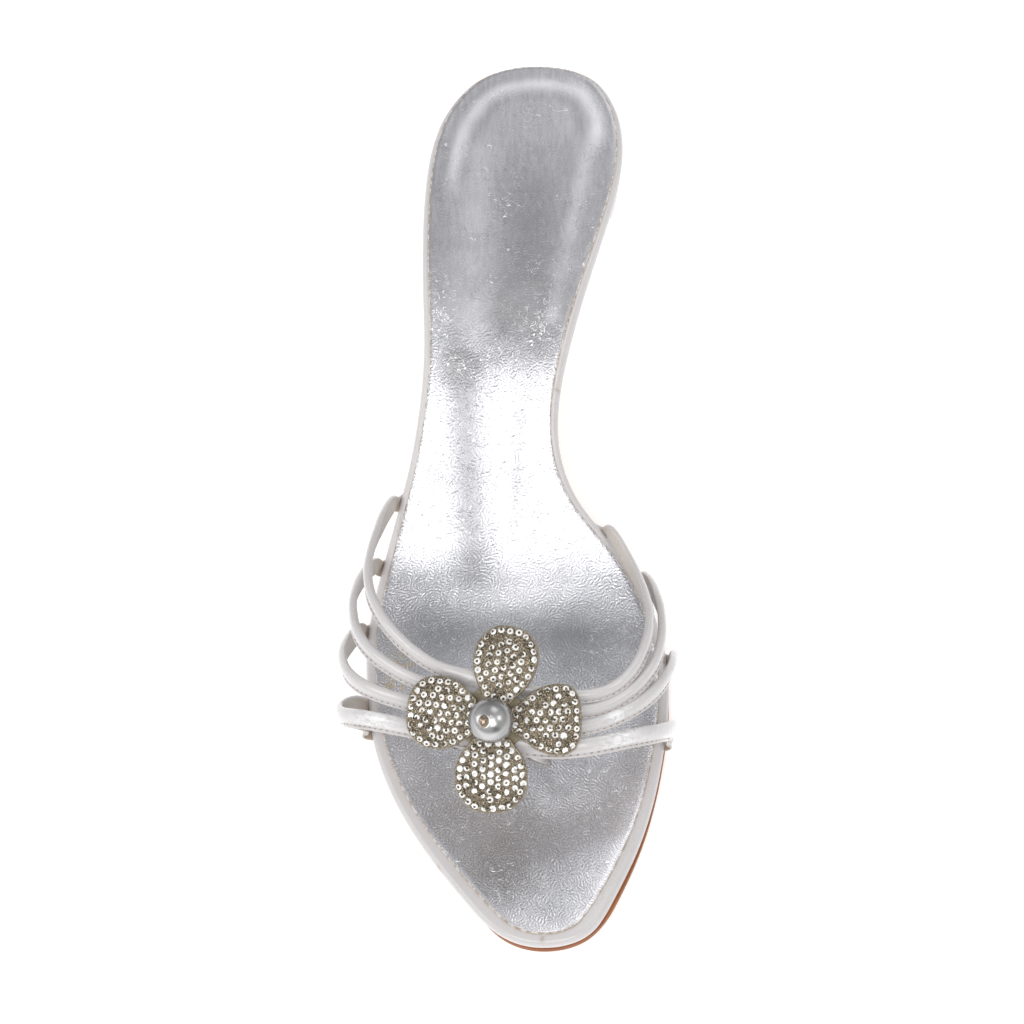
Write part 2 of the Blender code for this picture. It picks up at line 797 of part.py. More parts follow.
def make_flower(brass, silver):
    plate_bottom = STRAP_THICK / 2 + GAP + PLATE_LIFT
    plate_top = plate_bottom + PLATE_THICK
    boss_top = plate_top + PLATE_BOSS_HEIGHT
    plate = [
        (0, boss_top),
        (PLATE_BOSS_RADIUS, boss_top),
        (PLATE_BOSS_RADIUS, plate_top),
        (PLATE_RADIUS, plate_top),
        (PLATE_RADIUS, plate_bottom),
        (0, plate_bottom),
    ]
    turned("flower_plate", plate, brass, 28, flower_frame())
    for name, petal in PETALS.items():
        make_petal(name, petal, brass, plate_top + GAP + PETAL_THICK)
    bead_frame = flower_frame() @ Matrix.Translation((0, 0, (boss_top + GAP + BEAD_RADIUS) * MM))
    make_bead(silver, bead_frame)
    make_pin(brass, bead_frame)


for old in list(bpy.data.objects):
    bpy.data.objects.remove(old, do_unlink=True)
parts = bpy.data.collections.new(OBJECT_NAME)
cutters = bpy.data.collections.new("cutters")
bpy.context.scene.collection.children.link(parts)
bpy.context.scene.collection.children.link(cutters)
cutters.hide_render = True

materials = {name: make_material(name) for name in MATERIALS}
make_outsole(materials["sole_leather"])
board = make_board(materials["white_leather"])
make_sock(materials["silver_leather"])
make_heel(materials["white_leather"])
make_heel_tip(materials["tip_rubber"])
make_upper(materials["white_leather"], board)
make_flower(materials["antique_brass"], materials["polished_silver"])
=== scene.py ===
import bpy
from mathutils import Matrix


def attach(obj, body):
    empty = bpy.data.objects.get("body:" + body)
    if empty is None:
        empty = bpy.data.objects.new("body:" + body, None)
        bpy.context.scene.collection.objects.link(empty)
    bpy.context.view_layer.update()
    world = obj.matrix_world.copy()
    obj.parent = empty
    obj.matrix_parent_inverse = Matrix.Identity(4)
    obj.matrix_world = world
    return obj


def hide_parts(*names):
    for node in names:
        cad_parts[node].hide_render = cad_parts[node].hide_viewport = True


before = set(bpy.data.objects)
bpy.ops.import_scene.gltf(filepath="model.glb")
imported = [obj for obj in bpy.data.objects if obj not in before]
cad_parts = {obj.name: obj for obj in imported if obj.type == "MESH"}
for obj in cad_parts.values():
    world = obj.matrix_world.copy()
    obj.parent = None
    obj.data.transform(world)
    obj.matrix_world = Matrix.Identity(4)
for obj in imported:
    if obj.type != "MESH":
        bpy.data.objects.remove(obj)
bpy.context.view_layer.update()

"""The looks of a right-foot kitten heel mule: its leather, foil, stitching, stones and light.

Lengths are millimetres until a mesh is made. "along" runs from the toe tip (0) to the heel (230),
"across" runs from the lateral side (negative) to the medial side (positive), and "up" is from
the floor. The tables of sizes are the ones that the CAD part is built from.
"""

from math import pi, radians

import bmesh
import bpy
import numpy as np
from mathutils import Matrix, Vector

MM = 0.001
LENGTH = 230.0
CENTRE_ACROSS = -3.37
GAP = 0.3
OUTSOLE_THICK = 2.5
OUTSOLE_CHAMFER = 0.4
OUTSOLE_SPANS = 170
BREAST_ALONG = 187.5
BOARD_THICK = 4.2
BOARD_SPANS = 500
BOARD_LEVELS = 22
SOCK_THICK = 0.6
SOCK_SPANS = 250
SOCK_RUNGS = 72
SOCK_BEVEL = (0.25, 0.22)  # inwards and down
SOCK_SUNK = 0.02

HEEL_TIP_HEIGHT = 5.0
HEEL_SEAT_INSET = 0.5
HEEL_HOLLOW = 0.12
HEEL_ROUND_FROM = 0.42
HEEL_OWN_SHAPE_FROM = 0.3
HEEL_LEVELS = 70
HEEL_SMOOTHING = 5
HEEL_BACK_STEPS = 7
HEEL_FRONT_SET_BACK = 0.22

STRAP_THICK = 2.1
TAIL_THICK = 1.1
TAIL_REACH = 5.5
SKIVE_LENGTH = 7.0
TAPER_LENGTH = 26.0
CROWN_EXTRA_WIDTH = 2.0
CROWN_REACH = 12.0
STRAP_SPACING = 0.9
LAST_SIDE_HEIGHT = 16.0
LAST_CENTRE_ACROSS = -1.5
STITCH_SIDE = -0.35
STITCH_OUT = 0.46
STITCH_PITCH = 1.7
STITCH_SIZE = (0.33, 0.15, 0.12)
STITCH_SKEW = 0.07
STITCH_SUNK = 0.035
SEAM_END = 9.0

FLOWER_ALONG = 47.3
FLOWER_ACROSS = -5.1
FLOWER_PITCH = radians(24.0)
PLATE_THICK = 0.9
PLATE_LIFT = 0.3
PLATE_BOSS_HEIGHT = 1.2
PETAL_THICK = 1.0
PETAL_ARCH = 1.2
PETAL_FALL = 1.7
PETAL_FALL_REACH = 0.62
PETAL_TIP_FALL = 1.4
PETAL_ROOT = 4.4
PETAL_FACE_SUNK = 0.10
PETAL_RIM_WIDTH = 0.22
PETAL_RIM_HEIGHT = 0.08
PETAL_BEVEL = 0.2
PETAL_ROWS = 56
PETAL_RUNGS = 48
BEAD_RADIUS = 5.4
DIMPLE_RADIUS = 0.9
DIMPLE_SLOPE = 0.7
DIMPLE_SHARE = 0.03
PIN_TILT = radians(14.0)
PIN_RADIUS = 0.95
PIN_NECK_TOP = 0.52
PIN_DOME = 0.75
PIN_STRETCH = (1.05, 1.55, 1.0)
# The flower's fixing strip in the flower's frame: the middle line and half width of each end.
TONGUES = [
    ([(3.0, -5.8, -1.42), (7.0, -7.5, -1.62), (10.6, -9.3, -2.3), (13.9, -10.9, -3.4)], 1.2),
    ([(-4.0, -5.2, -1.4), (-5.8, -5.9, -1.5), (-7.8, -6.5, -1.7), (-9.8, -6.9, -2.0)], 1.1),
]
TONGUE_ROWS = 25
# A fixing strip's section: half widths aside and millimetres up.
TONGUE_SECTION = [
    (-1, 0.0), (-0.9, 0.32), (-0.6, 0.30), (0.6, 0.10), (0.9, 0.12), (1, 0.0), (0.9, -0.2), (-0.9, -0.2)
]
STONE_PITCH = 2.1
STONE_INSET = 1.2
STONE_RADIUS = 0.83
STONE_NEAREST = 1.72
STONE_SIDES = 8
STONE_PROUD = 0.16
STONE_LEAN = 0.13
STONE_SCATTER = 0.09
STONE_SIZES = (0.9, 1.08)
GRAINS_EACH = 4
GRAIN_RADII = (0.17, 0.27)
GRAIN_REACH = 1.05
GRAIN_PROUD = 0.06
GRAIN_RINGS = 5
GRAIN_SIDES = 8

CAMERA_PLACE = Vector((0.0424, -0.3092, 0.6237))
CAMERA_ELEVATION = radians(63.0)
CAMERA_LENS = 92.0
CAMERA_TURN = radians(3.6)  # brings the one shoe to the middle of the picture
FLOOR_HALF = 3.0
FLOOR_DROP = 0.0002
WORLD_COLOUR = (0.98, 0.985, 1.0, 1)
WORLD_STRENGTH = 0.56
LIGHTS_AIM = Vector((0, 0, 0.02))

# Softboxes: name, centre and size in metres, power in watts and colour.
LIGHTS = [
    ("softbox_right", (0.29, -0.72, 1.08), (0.62, 0.86), 4.6, (1.0, 0.99, 0.98)),
    ("softbox_left", (-0.43, -0.72, 1.08), (0.62, 0.86), 4.6, (1.0, 0.99, 0.98)),
    ("softbox_back", (0.42, 0.85, 1.20), (0.7, 0.7), 2.2, (1, 1, 1)),
    ("softbox_over", (0.074, -0.131, 1.24), (0.20, 0.20), 0.3, (1, 1, 1)),
    ("softbox_lateral", (-0.95, -0.15, 0.62), (0.5, 0.5), 1.8, (1, 1, 1)),
    ("softbox_side", (0.889, -0.116, 0.87), (0.30, 0.30), 0.9, (1, 1, 1)),
]


def columns(names, rows):
    """A table whose columns are read by name."""
    return dict(zip(names.split(), np.array(rows, float).T))


PROFILE = columns(
    "along up",
    [
        (0, 11.6), (12, 9.6), (30, 7.8), (48, 7.0), (80, 7.0), (98, 10.2), (122, 21.0), (150, 35.5),
        (178, 46.6), (205, 52.2), (230, 55.3),
    ],
)
SOLE = columns(
    "along lateral medial",
    [
        (0, 6.4, 6.4), (3, -3.9, 17.0), (13, -13.8, 23.7), (32, -27.9, 31.4), (56, -38.4, 36.2),
        (70, -40.6, 37.1), (84, -41.1, 35.2), (99, -38.5, 29.1), (109.5, -35.6, 21.0),
        (116, -33.6, 15.0), (123.5, -31.4, 10.5), (137, -28.5, 8.2), (151, -27.0, 10.5),
        (166, -27.3, 14.9), (181, -27.6, 19.8), (200, -26.7, 24.5), (212, -24.0, 24.2),
        (221, -19.0, 20.9), (227, -12.1, 15.0), (230, 1.2, 1.2),
    ],
)
BOARD_EDGE = columns(
    "inset depth",
    [(2.0, 1.0), (0.7, 0.92), (0.1, 0.69), (0.0, 0.40), (0.35, 0.17), (1.1, 0.03), (2.2, 0.0)],
)
OUTSOLE_INSET = columns(
    "along lateral medial",
    [(0, 0.3, 0.3), (15, 1.2, 0.5), (40, 1.4, 0.8), (90, 1.4, 0.8), (115, 1.2, 1.2), (188, 1.7, 1.7)],
)
SOCK_INSET = columns(
    "along lateral medial",
    [
        (0, 2.7, 2.7), (6, 3.3, 3.7), (16, 3.2, 3.3), (40, 2.9, 2.7), (85, 2.5, 2.4), (130, 1.9, 1.9),
        (200, 1.5, 1.4), (230, 1.4, 1.4),
    ],
)
LAST = columns(
    "along lateral medial ridge",
    [
        (38, -41.0, 34.5, 35.6), (52, -44.7, 38.0, 41.2), (66, -45.2, 38.4, 46.8),
        (80, -43.6, 36.3, 52.4), (95, -40.7, 33.0, 58.4), (118, -33.5, 20.0, 67.6),
    ],
)
HEEL = columns(
    "drop front back half_width",
    [
        (0.00, 188.0, 229.2, 25.0), (0.10, 189.8, 227.9, 23.2), (0.26, 194.4, 224.6, 17.6),
        (0.45, 199.6, 221.0, 11.6), (0.65, 203.2, 218.9, 7.9), (0.85, 205.0, 217.9, 6.3),
        (1.00, 205.2, 218.0, 6.1),
    ],
)
# The heel tip's outline from the floor up: millimetres proud of the heel and up.
HEEL_TIP_EDGE = [
    (-0.8, 0.0), (-0.3, 0.02), (-0.05, 0.2), (0.1, 0.5), (0.2, 0.9), (0.2, 3.3), (0.08, 3.45),
    (0.08, 3.6), (0.2, 3.75), (0.2, 4.8), (0.12, 4.95), (0.0, 5.0),
]
# The straps from toe to heel: where each leaves the sole on either side, how far its ends lean to
# the heel, its widths, the places across where it gets painted highlights and its middle line over the
# foot.
STRAPS = {
    "front": {
        "anchors": (61.5, 57.0),
        "leans": (0.0, 0.0),
        "width": 4.7,
        "end_widths": (11.0, 7.0),
        "painted_shine": [(-34.5, 10.0), (25.5, 9.0)],
        "route": [
            (56.2, -45.0, 20), (50.3, -37.0, 31.6), (45.3, -21.3, 36.2), (42.2, -5.0, 37.4),
            (41.2, 11.0, 35.8), (45.2, 27.2, 32.2), (51.4, 36.8, 22.2),
        ],
    },
    "second": {
        "anchors": (85.0, 77.2),
        "leans": (0.5, 0.3),
        "width": 4.0,
        "end_widths": (4.6, 5.0),
        "painted_shine": [(24.0, 5.0)],
        "route": [
            (73.4, -45.1, 20.6), (59.8, -39.8, 31.8), (50.8, -20.8, 38.3), (47.0, -3.0, 39.4),
            (46.2, 15.5, 37.0), (56.5, 32.6, 31.8), (69.8, 38.1, 21.1),
        ],
    },
    "third": {
        "anchors": (102.0, 99.0),
        "leans": (0.5, 0.6),
        "width": 3.7,
        "end_widths": (4.0, 3.6),
        "painted_shine": [],
        "route": [
            (87.6, -42.5, 25.7), (68.1, -37.9, 35.2), (55.0, -19.6, 40.2), (50.7, -1.0, 40.6),
            (50.6, 19.4, 37.4), (66.5, 34.3, 31.8), (88.8, 33.9, 20.9),
        ],
    },
    "rear": {
        "anchors": (117.2, 110.6),
        "leans": (0.9, 0.9),
        "width": 3.5,
        "end_widths": (3.6, 2.8),
        "painted_shine": [(-9.0, 5.0)],
        "route": [
            (99.7, -38.2, 29.2), (78.0, -35.9, 38.6), (60.0, -19.8, 42.0), (54.2, 0.0, 41.9),
            (55.3, 22.3, 38.1), (73.1, 32.4, 32.6), (99.8, 27.0, 17.6),
        ],
    },
}
# From under the board to beside it: millimetres out of its edge and up from its underside.
STRAP_TAIL = columns("out up", [(-5.5, 0.85), (-1.6, 0.9), (1.05, 1.85), (1.55, 4.6)])
# A strap's section in strap widths towards the heel and thicknesses from the lining: the flange
# with its sunken stitch line and the padded roll (0), then the lining's face (1).
STRAP_SECTION = columns(
    "side out lining",
    [
        (-0.495, 0.10, 0), (-0.505, 0.22, 0), (-0.505, 0.35, 0), (-0.490, 0.45, 0),
        (-0.455, 0.50, 0), (-0.415, 0.505, 0), (-0.380, 0.475, 0), (-0.350, 0.450, 0),
        (-0.320, 0.475, 0), (-0.280, 0.550, 0), (-0.220, 0.650, 0), (-0.140, 0.785, 0),
        (-0.050, 0.895, 0), (0.050, 0.965, 0), (0.150, 0.995, 0), (0.240, 0.995, 0),
        (0.320, 0.955, 0), (0.390, 0.875, 0), (0.445, 0.755, 0), (0.485, 0.600, 0),
        (0.500, 0.430, 0), (0.490, 0.270, 0), (0.455, 0.140, 0), (0.405, 0.050, 0),
        (0.360, 0.050, 1), (0.250, 0.025, 1), (0.100, 0.005, 1), (-0.050, 0.000, 1),
        (-0.200, 0.015, 1), (-0.350, 0.045, 1), (-0.455, 0.070, 1),
    ],
)

# Soiled seams across the rim (along, side, reach, strength) and ticks on it (start and end as
# along and across, reach, strength).
RIM_SEAMS = [(91.3, -1, 0.9, 0.8), (143, 1, 0.8, 0.5)]
RIM_TICKS = [((1.2, 6.4), (2.9, 6.7), 1.1, 0.6), ((20.8, -20.2), (19.0, -19.4), 1.0, 0.8)]
SEAT_RIDGE_INSET = 5.2
# Soft spots of painted highlight (change above 0) and painted shade (below 0) that stand in for the
# foil's reflections: along, across, reach along, reach across, change.
FOIL_PAINTED_SPOTS = [
    (95.5, -3, 13, 34, 0.68), (38, 24, 34, 18, 0.32), (23, -6, 32, 32, 0.42), (47, -30, 12, 8, 0.25),
    (78, 14, 26, 30, -0.52), (84, -24, 24, 20, -0.52), (87.5, 2, 15, 60, -0.45),
    (150, -4, 16, 50, -0.52), (163, 0, 22, 60, -1.05), (211, 0, 26, 26, 0.14),
    (184, 1, 34, 18, -0.60), (182, 21, 30, 7, -0.22), (176, -24, 34, 8, -0.28),
]
# Patches of crack lines painted white as highlights: along, across, reach along, reach across, strength.
CRACK_AND_GLINT_PATCHES = [
    (161, -23, 20, 9, 1.0), (157, 3, 16, 11, 0.8), (172, 2.6, 4.5, 4, 1.0), (168.5, -8.5, 4.5, 4, 0.7),
    (150, -8, 14, 30, 0.5), (84, -24, 14, 12, 0.5), (80, 22, 16, 14, 0.4), (24, -8, 30, 16, 0.25),
]
# Short raised creases: start and end (along, across), reach, height.
FOIL_CREASES = [
    ((168, -24), (160, -21.5), 1.4, 0.12), ((168, 3.5), (164, 5.0), 1.5, 0.10),
    ((156, -6), (149, -4), 1.5, 0.15), ((84, -14), (79, -9), 1.3, 0.07), ((30, 3), (27, 9), 1.4, 0.06),
]
# Soft raised bands down the heel's seat with painted highlights, and streaks of painted shade down
# the arch: start and end (along, across), width, strength.
SEAT_BANDS = [((203, -13.6), (154, -13.0), 10.0, 0.30), ((208, 16.8), (160, 6.6), 4.6, 0.42)]
ARCH_STREAKS = [((148, -17), (100, -13.5), 11.0, 0.85), ((136, -1.5), (112, -3.0), 3.4, 0.50)]
FOIL_STAINS = [(76.0, -32.0, 6.0), (68.5, -33.5, 6.0)]  # along, across, reach

PETAL_WIDTH = columns(
    "reach slim full",
    [
        (0.00, 2.9, 4.4), (0.11, 3.7, 5.7), (0.21, 5.1, 7.0), (0.30, 6.3, 7.9), (0.40, 7.4, 8.5),
        (0.55, 8.4, 9.0), (0.72, 8.9, 9.0), (0.88, 8.7, 8.4), (1.00, 7.6, 7.4),
    ],
)
# Each petal's direction, reach, width, fullness at the root, roundness of its tip and a power that
# dims its stones' painted flashes towards painted shade.
PETALS = {
    "petal_top": {"turn": 78.0, "tip": 22.9, "breadth": 0.88, "full": 0.45, "round": 3.2, "painted_shade": 5.5},
    "petal_right": {"turn": 0.5, "tip": 21.4, "breadth": 0.97, "full": 0.0, "round": 1.8, "painted_shade": 1.6},
    "petal_bottom": {"turn": 268.5, "tip": 22.4, "breadth": 0.98, "full": 1.0, "round": 3.0, "painted_shade": 0.5},
    "petal_left": {"turn": 172.5, "tip": 21.0, "breadth": 0.97, "full": 1.0, "round": 2.2, "painted_shade": 2.2},
}


def smooth_through(knots, values):
    """A smooth curve through a table that never overshoots it, for one place or many."""
    step = np.diff(knots)
    rise = np.diff(values) / step
    slope = np.zeros(len(knots))
    slope[0] = rise[0]
    slope[-1] = rise[-1]
    for i in range(1, len(knots) - 1):
        if rise[i - 1] * rise[i] > 0:
            before = 2 * step[i] + step[i - 1]
            after = step[i] + 2 * step[i - 1]
            slope[i] = (before + after) / (before / rise[i - 1] + after / rise[i])

    def value(at):
        i = np.clip(np.searchsorted(knots, at) - 1, 0, len(step) - 1)
        t = np.clip((at - knots[i]) / step[i], 0.0, 1.0)
        start = (1 + 2 * t) * (1 - t) ** 2 * values[i] + t * (1 - t) ** 2 * step[i] * slope[i]
        end = t * t * (3 - 2 * t) * values[i + 1] + t * t * (t - 1) * step[i] * slope[i + 1]
        return start + end

    return value


def natural_curve(knots, values):
    """The natural cubic spline through a few points."""
    count = len(knots)
    step = np.diff(knots)
    bend = np.eye(count)
    load = np.zeros(count)
    for i in range(1, count - 1):
        bend[i, i - 1 : i + 2] = (step[i - 1], 2 * (step[i - 1] + step[i]), step[i])
        load[i] = 6 * ((values[i + 1] - values[i]) / step[i] - (values[i] - values[i - 1]) / step[i - 1])
    second = np.linalg.solve(bend, load)

    def value(at):
        i = np.clip(np.searchsorted(knots, at) - 1, 0, count - 2)
        width = step[i]
        right = (at - knots[i]) / width
        left = 1 - right
        curve = ((left**3 - left) * second[i] + (right**3 - right) * second[i + 1]) * width**2 / 6
        return left * values[i] + right * values[i + 1] + curve

    return value


def curves(table):
    """A smooth curve over a table's first column through each of the others."""
    first, *names = table
    return {name: smooth_through(table[first], table[name]) for name in names}


def ease(value):
    value = np.clip(value, 0.0, 1.0)
    return value * value * (3 - 2 * value)


def bell(value, middle, reach):
    """A smooth bump of height 1, almost gone at reach from its middle."""
    return np.exp(-(((value - middle) / (0.5 * reach)) ** 2))


def unit(vectors):
    return vectors / np.maximum(np.linalg.norm(vectors, axis=-1, keepdims=True), 1e-9)


def left_of(tangents):
    """Unit directions in plan, square to tangents and to their left."""
    tangents = unit(tangents)
    return np.stack([-tangents[:, 1], tangents[:, 0]], axis=1)


def path_lengths(points, power=1.0):
    """How far along a line through points each of them is."""
    steps = np.linalg.norm(np.diff(points, axis=0), axis=1) ** power
    return np.concatenate([[0], np.cumsum(steps)])


def on_path(at, lengths, points):
    """The place or places at lengths at along a line through points."""
    return np.stack([np.interp(at, lengths, column) for column in points.T], axis=-1)


def segment_distance(along, across, start, end):
    """Distance in plan from places to a straight line between two places (along, across)."""
    start = np.array(start, float)
    line = np.array(end, float) - start
    offset = np.stack([along, across], axis=-1) - start
    share = np.clip(offset @ line / (line @ line), 0.0, 1.0)
    return np.linalg.norm(offset - share[..., None] * line, axis=-1)


def band(along, across, start, end, reach):
    """1 on a straight line between two places, easing to 0 at reach from it."""
    return bell(segment_distance(along, across, start, end), 0.0, reach)


def spot(along, across, spot_along, spot_across, reach_along, reach_across):
    return bell(along, spot_along, reach_along) * bell(across, spot_across, reach_across)


def outline_distance(points, outline):
    """Distance from each point to a closed outline, both in plan."""
    edge = np.roll(outline, -1, axis=0) - outline
    length = np.maximum((edge**2).sum(axis=1), 1e-9)
    best = np.full(len(points), np.inf)
    for a, e, size in zip(outline, edge, length):
        offset = points - a
        t = np.clip(offset @ e / size, 0.0, 1.0)
        best = np.minimum(best, ((offset - t[:, None] * e) ** 2).sum(axis=1))
    return np.sqrt(best)


# The sole's shape


def end_angle(along):
    """Turns a distance along the sole into an angle, in which its round ends are smooth."""
    return np.arccos(1 - 2 * np.clip(along / LENGTH, 0.0, 1.0))


board_top = curves(PROFILE)["up"]
lateral_edge = natural_curve(end_angle(SOLE["along"]), SOLE["lateral"])
medial_edge = natural_curve(end_angle(SOLE["along"]), SOLE["medial"])
outsole_inset = curves(OUTSOLE_INSET)
sock_inset = curves(SOCK_INSET)
last = curves(LAST)
heel_levels = curves(HEEL)


def peeping_medial(along):
    """The outsole's edge comes out beside the rim along the medial forefoot."""
    return outsole_inset["medial"](along) - 0.85 * ease((86 - along) / 24) * ease((along - 1) / 12)


peeping_inset = {"lateral": outsole_inset["lateral"], "medial": peeping_medial}
flush = {side: lambda along: 0.0 * along for side in ("lateral", "medial")}


def sole_sides(along):
    """The sole's lateral and medial edge at a distance along it."""
    angle = end_angle(along)
    return lateral_edge(angle), medial_edge(angle)


def sole_middle(along):
    lateral, medial = sole_sides(along)
    return (lateral + medial) / 2


def below_board_top(along, depth):
    """Height of the surface that lies depth under the board's top, measured square to it."""
    slope = (board_top(along + 1) - board_top(along - 1)) / 2
    return board_top(along) - depth * (1 + slope**2) ** 0.5


def sole_ring(inset, extra, last_along, spans):
    """Points (along, across) round the sole: toe tip, lateral side to the heel, medial side back."""
    angles = end_angle(last_along) * np.linspace(0, 1, spans + 1)
    whole = last_along >= LENGTH
    back = angles[-2:0:-1] if whole else angles[:0:-1]
    lateral = np.stack([LENGTH / 2 * (1 - np.cos(angles)), lateral_edge(angles)], axis=1)
    medial = np.stack([LENGTH / 2 * (1 - np.cos(back)), medial_edge(back)], axis=1)
    points = np.concatenate([lateral, medial])
    tangent = np.roll(points, -1, axis=0) - np.roll(points, 1, axis=0)
    if not whole:
        tangent[spans] = points[spans] - points[spans - 1]
        tangent[spans + 1] = points[spans + 2] - points[spans + 1]
    depth = np.concatenate([inset["lateral"](lateral[:, 0]), inset["medial"](medial[:, 0])]) + extra
    points = points + left_of(tangent) * depth[:, None]
    if not whole:
        points[spans : spans + 2, 0] = last_along
    return points


def sole_layer(inset, edge, last_along, spans):
    """Rings round the sole for each (inset, depth) of a layer's edge, and the faces on them."""
    rings = []
    for extra, depth in edge:
        ring = sole_ring(inset, extra, last_along, spans)
        rings.append(np.column_stack([ring, below_board_top(ring[:, 0], depth)]))
    rings = np.array(rings)
    count = rings.shape[1]
    faces = rung_faces(0, count) + strip_faces(len(edge), count)
    return rings, faces + [face[::-1] for face in rung_faces((len(edge) - 1) * count, count)]


# Meshes


def place(points):
    """Points (along, across, up) of the shoe in the model's frame, in metres."""
    points = np.asarray(points, float)
    along, across, up = points[..., 0], points[..., 1], points[..., 2]
    return np.stack([across - CENTRE_ACROSS, along - LENGTH / 2, up], axis=-1) * MM


def face_outwards(data):
    """Turns every face of a mesh to look outwards."""
    shape = bmesh.new()
    shape.from_mesh(data)
    bmesh.ops.recalc_face_normals(shape, faces=shape.faces)
    shape.to_mesh(data)
    shape.free()


def add_piece(name, points, faces, materials, replaced=(), face_material=None, smooth=True):
    """An object of the visual model, from points already in the model's frame."""
    data = bpy.data.meshes.new(name)
    data.from_pydata(np.asarray(points).reshape(-1, 3).tolist(), [], faces)
    for material in materials:
        data.materials.append(material)
    if face_material is not None:
        data.polygons.foreach_set("material_index", np.asarray(face_material, dtype=np.int32))
    face_outwards(data)
    if smooth:
        data.shade_smooth()
    data.update()
    obj = bpy.data.objects.new(name, data)
    bpy.context.scene.collection.objects.link(obj)
    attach(obj, "root")
    if replaced:
        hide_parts(*replaced)
    return obj


def point_values(obj, name, values):
    """Gives each point of a mesh a number that its material can read."""
    layer = obj.data.attributes.new(name, "FLOAT", "POINT")
    layer.data.foreach_set("value", np.asarray(values, dtype=np.float32).ravel())


def strip_faces(rows, count, closed=True, first=0):
    """Quads between rows of count points each."""
    faces = []
    for row in range(rows - 1):
        low = first + row * count
        high = low + count
        for i in range(count if closed else count - 1):
            j = (i + 1) % count
            faces.append((low + i, low + j, high + j, high + i))
    return faces


def tube_faces(rows, count):
    """Quads between closed rows of count points each, with a face over either end."""
    faces = strip_faces(rows, count)
    faces.append(tuple(range(count))[::-1])
    faces.append(tuple(range((rows - 1) * count, rows * count)))
    return faces


def rung_faces(first, count):
    """Closes a ring round the sole by rungs between its two sides."""
    faces = []
    for i in range(count // 2):
        corners = [i, i + 1, (count - i - 1) % count, (count - i) % count]
        corners = [corner for k, corner in enumerate(corners) if corner not in corners[:k]]
        faces.append(tuple(first + corner for corner in corners))
    return faces


def joined(shapes):
    """One set of points and faces from many."""
    points = []
    faces = []
    first = 0
    for shape_points, shape_faces in shapes:
        points.append(shape_points)
        faces += [tuple(first + corner for corner in face) for face in shape_faces]
        first += len(shape_points)
    return np.concatenate(points), faces


def copies(template, places):
    """Many copies of a small shape, each placed by a 3x3 matrix and an origin."""
    points, faces = template
    return joined([(points @ np.asarray(matrix).T + origin, faces) for matrix, origin in places])


# Materials


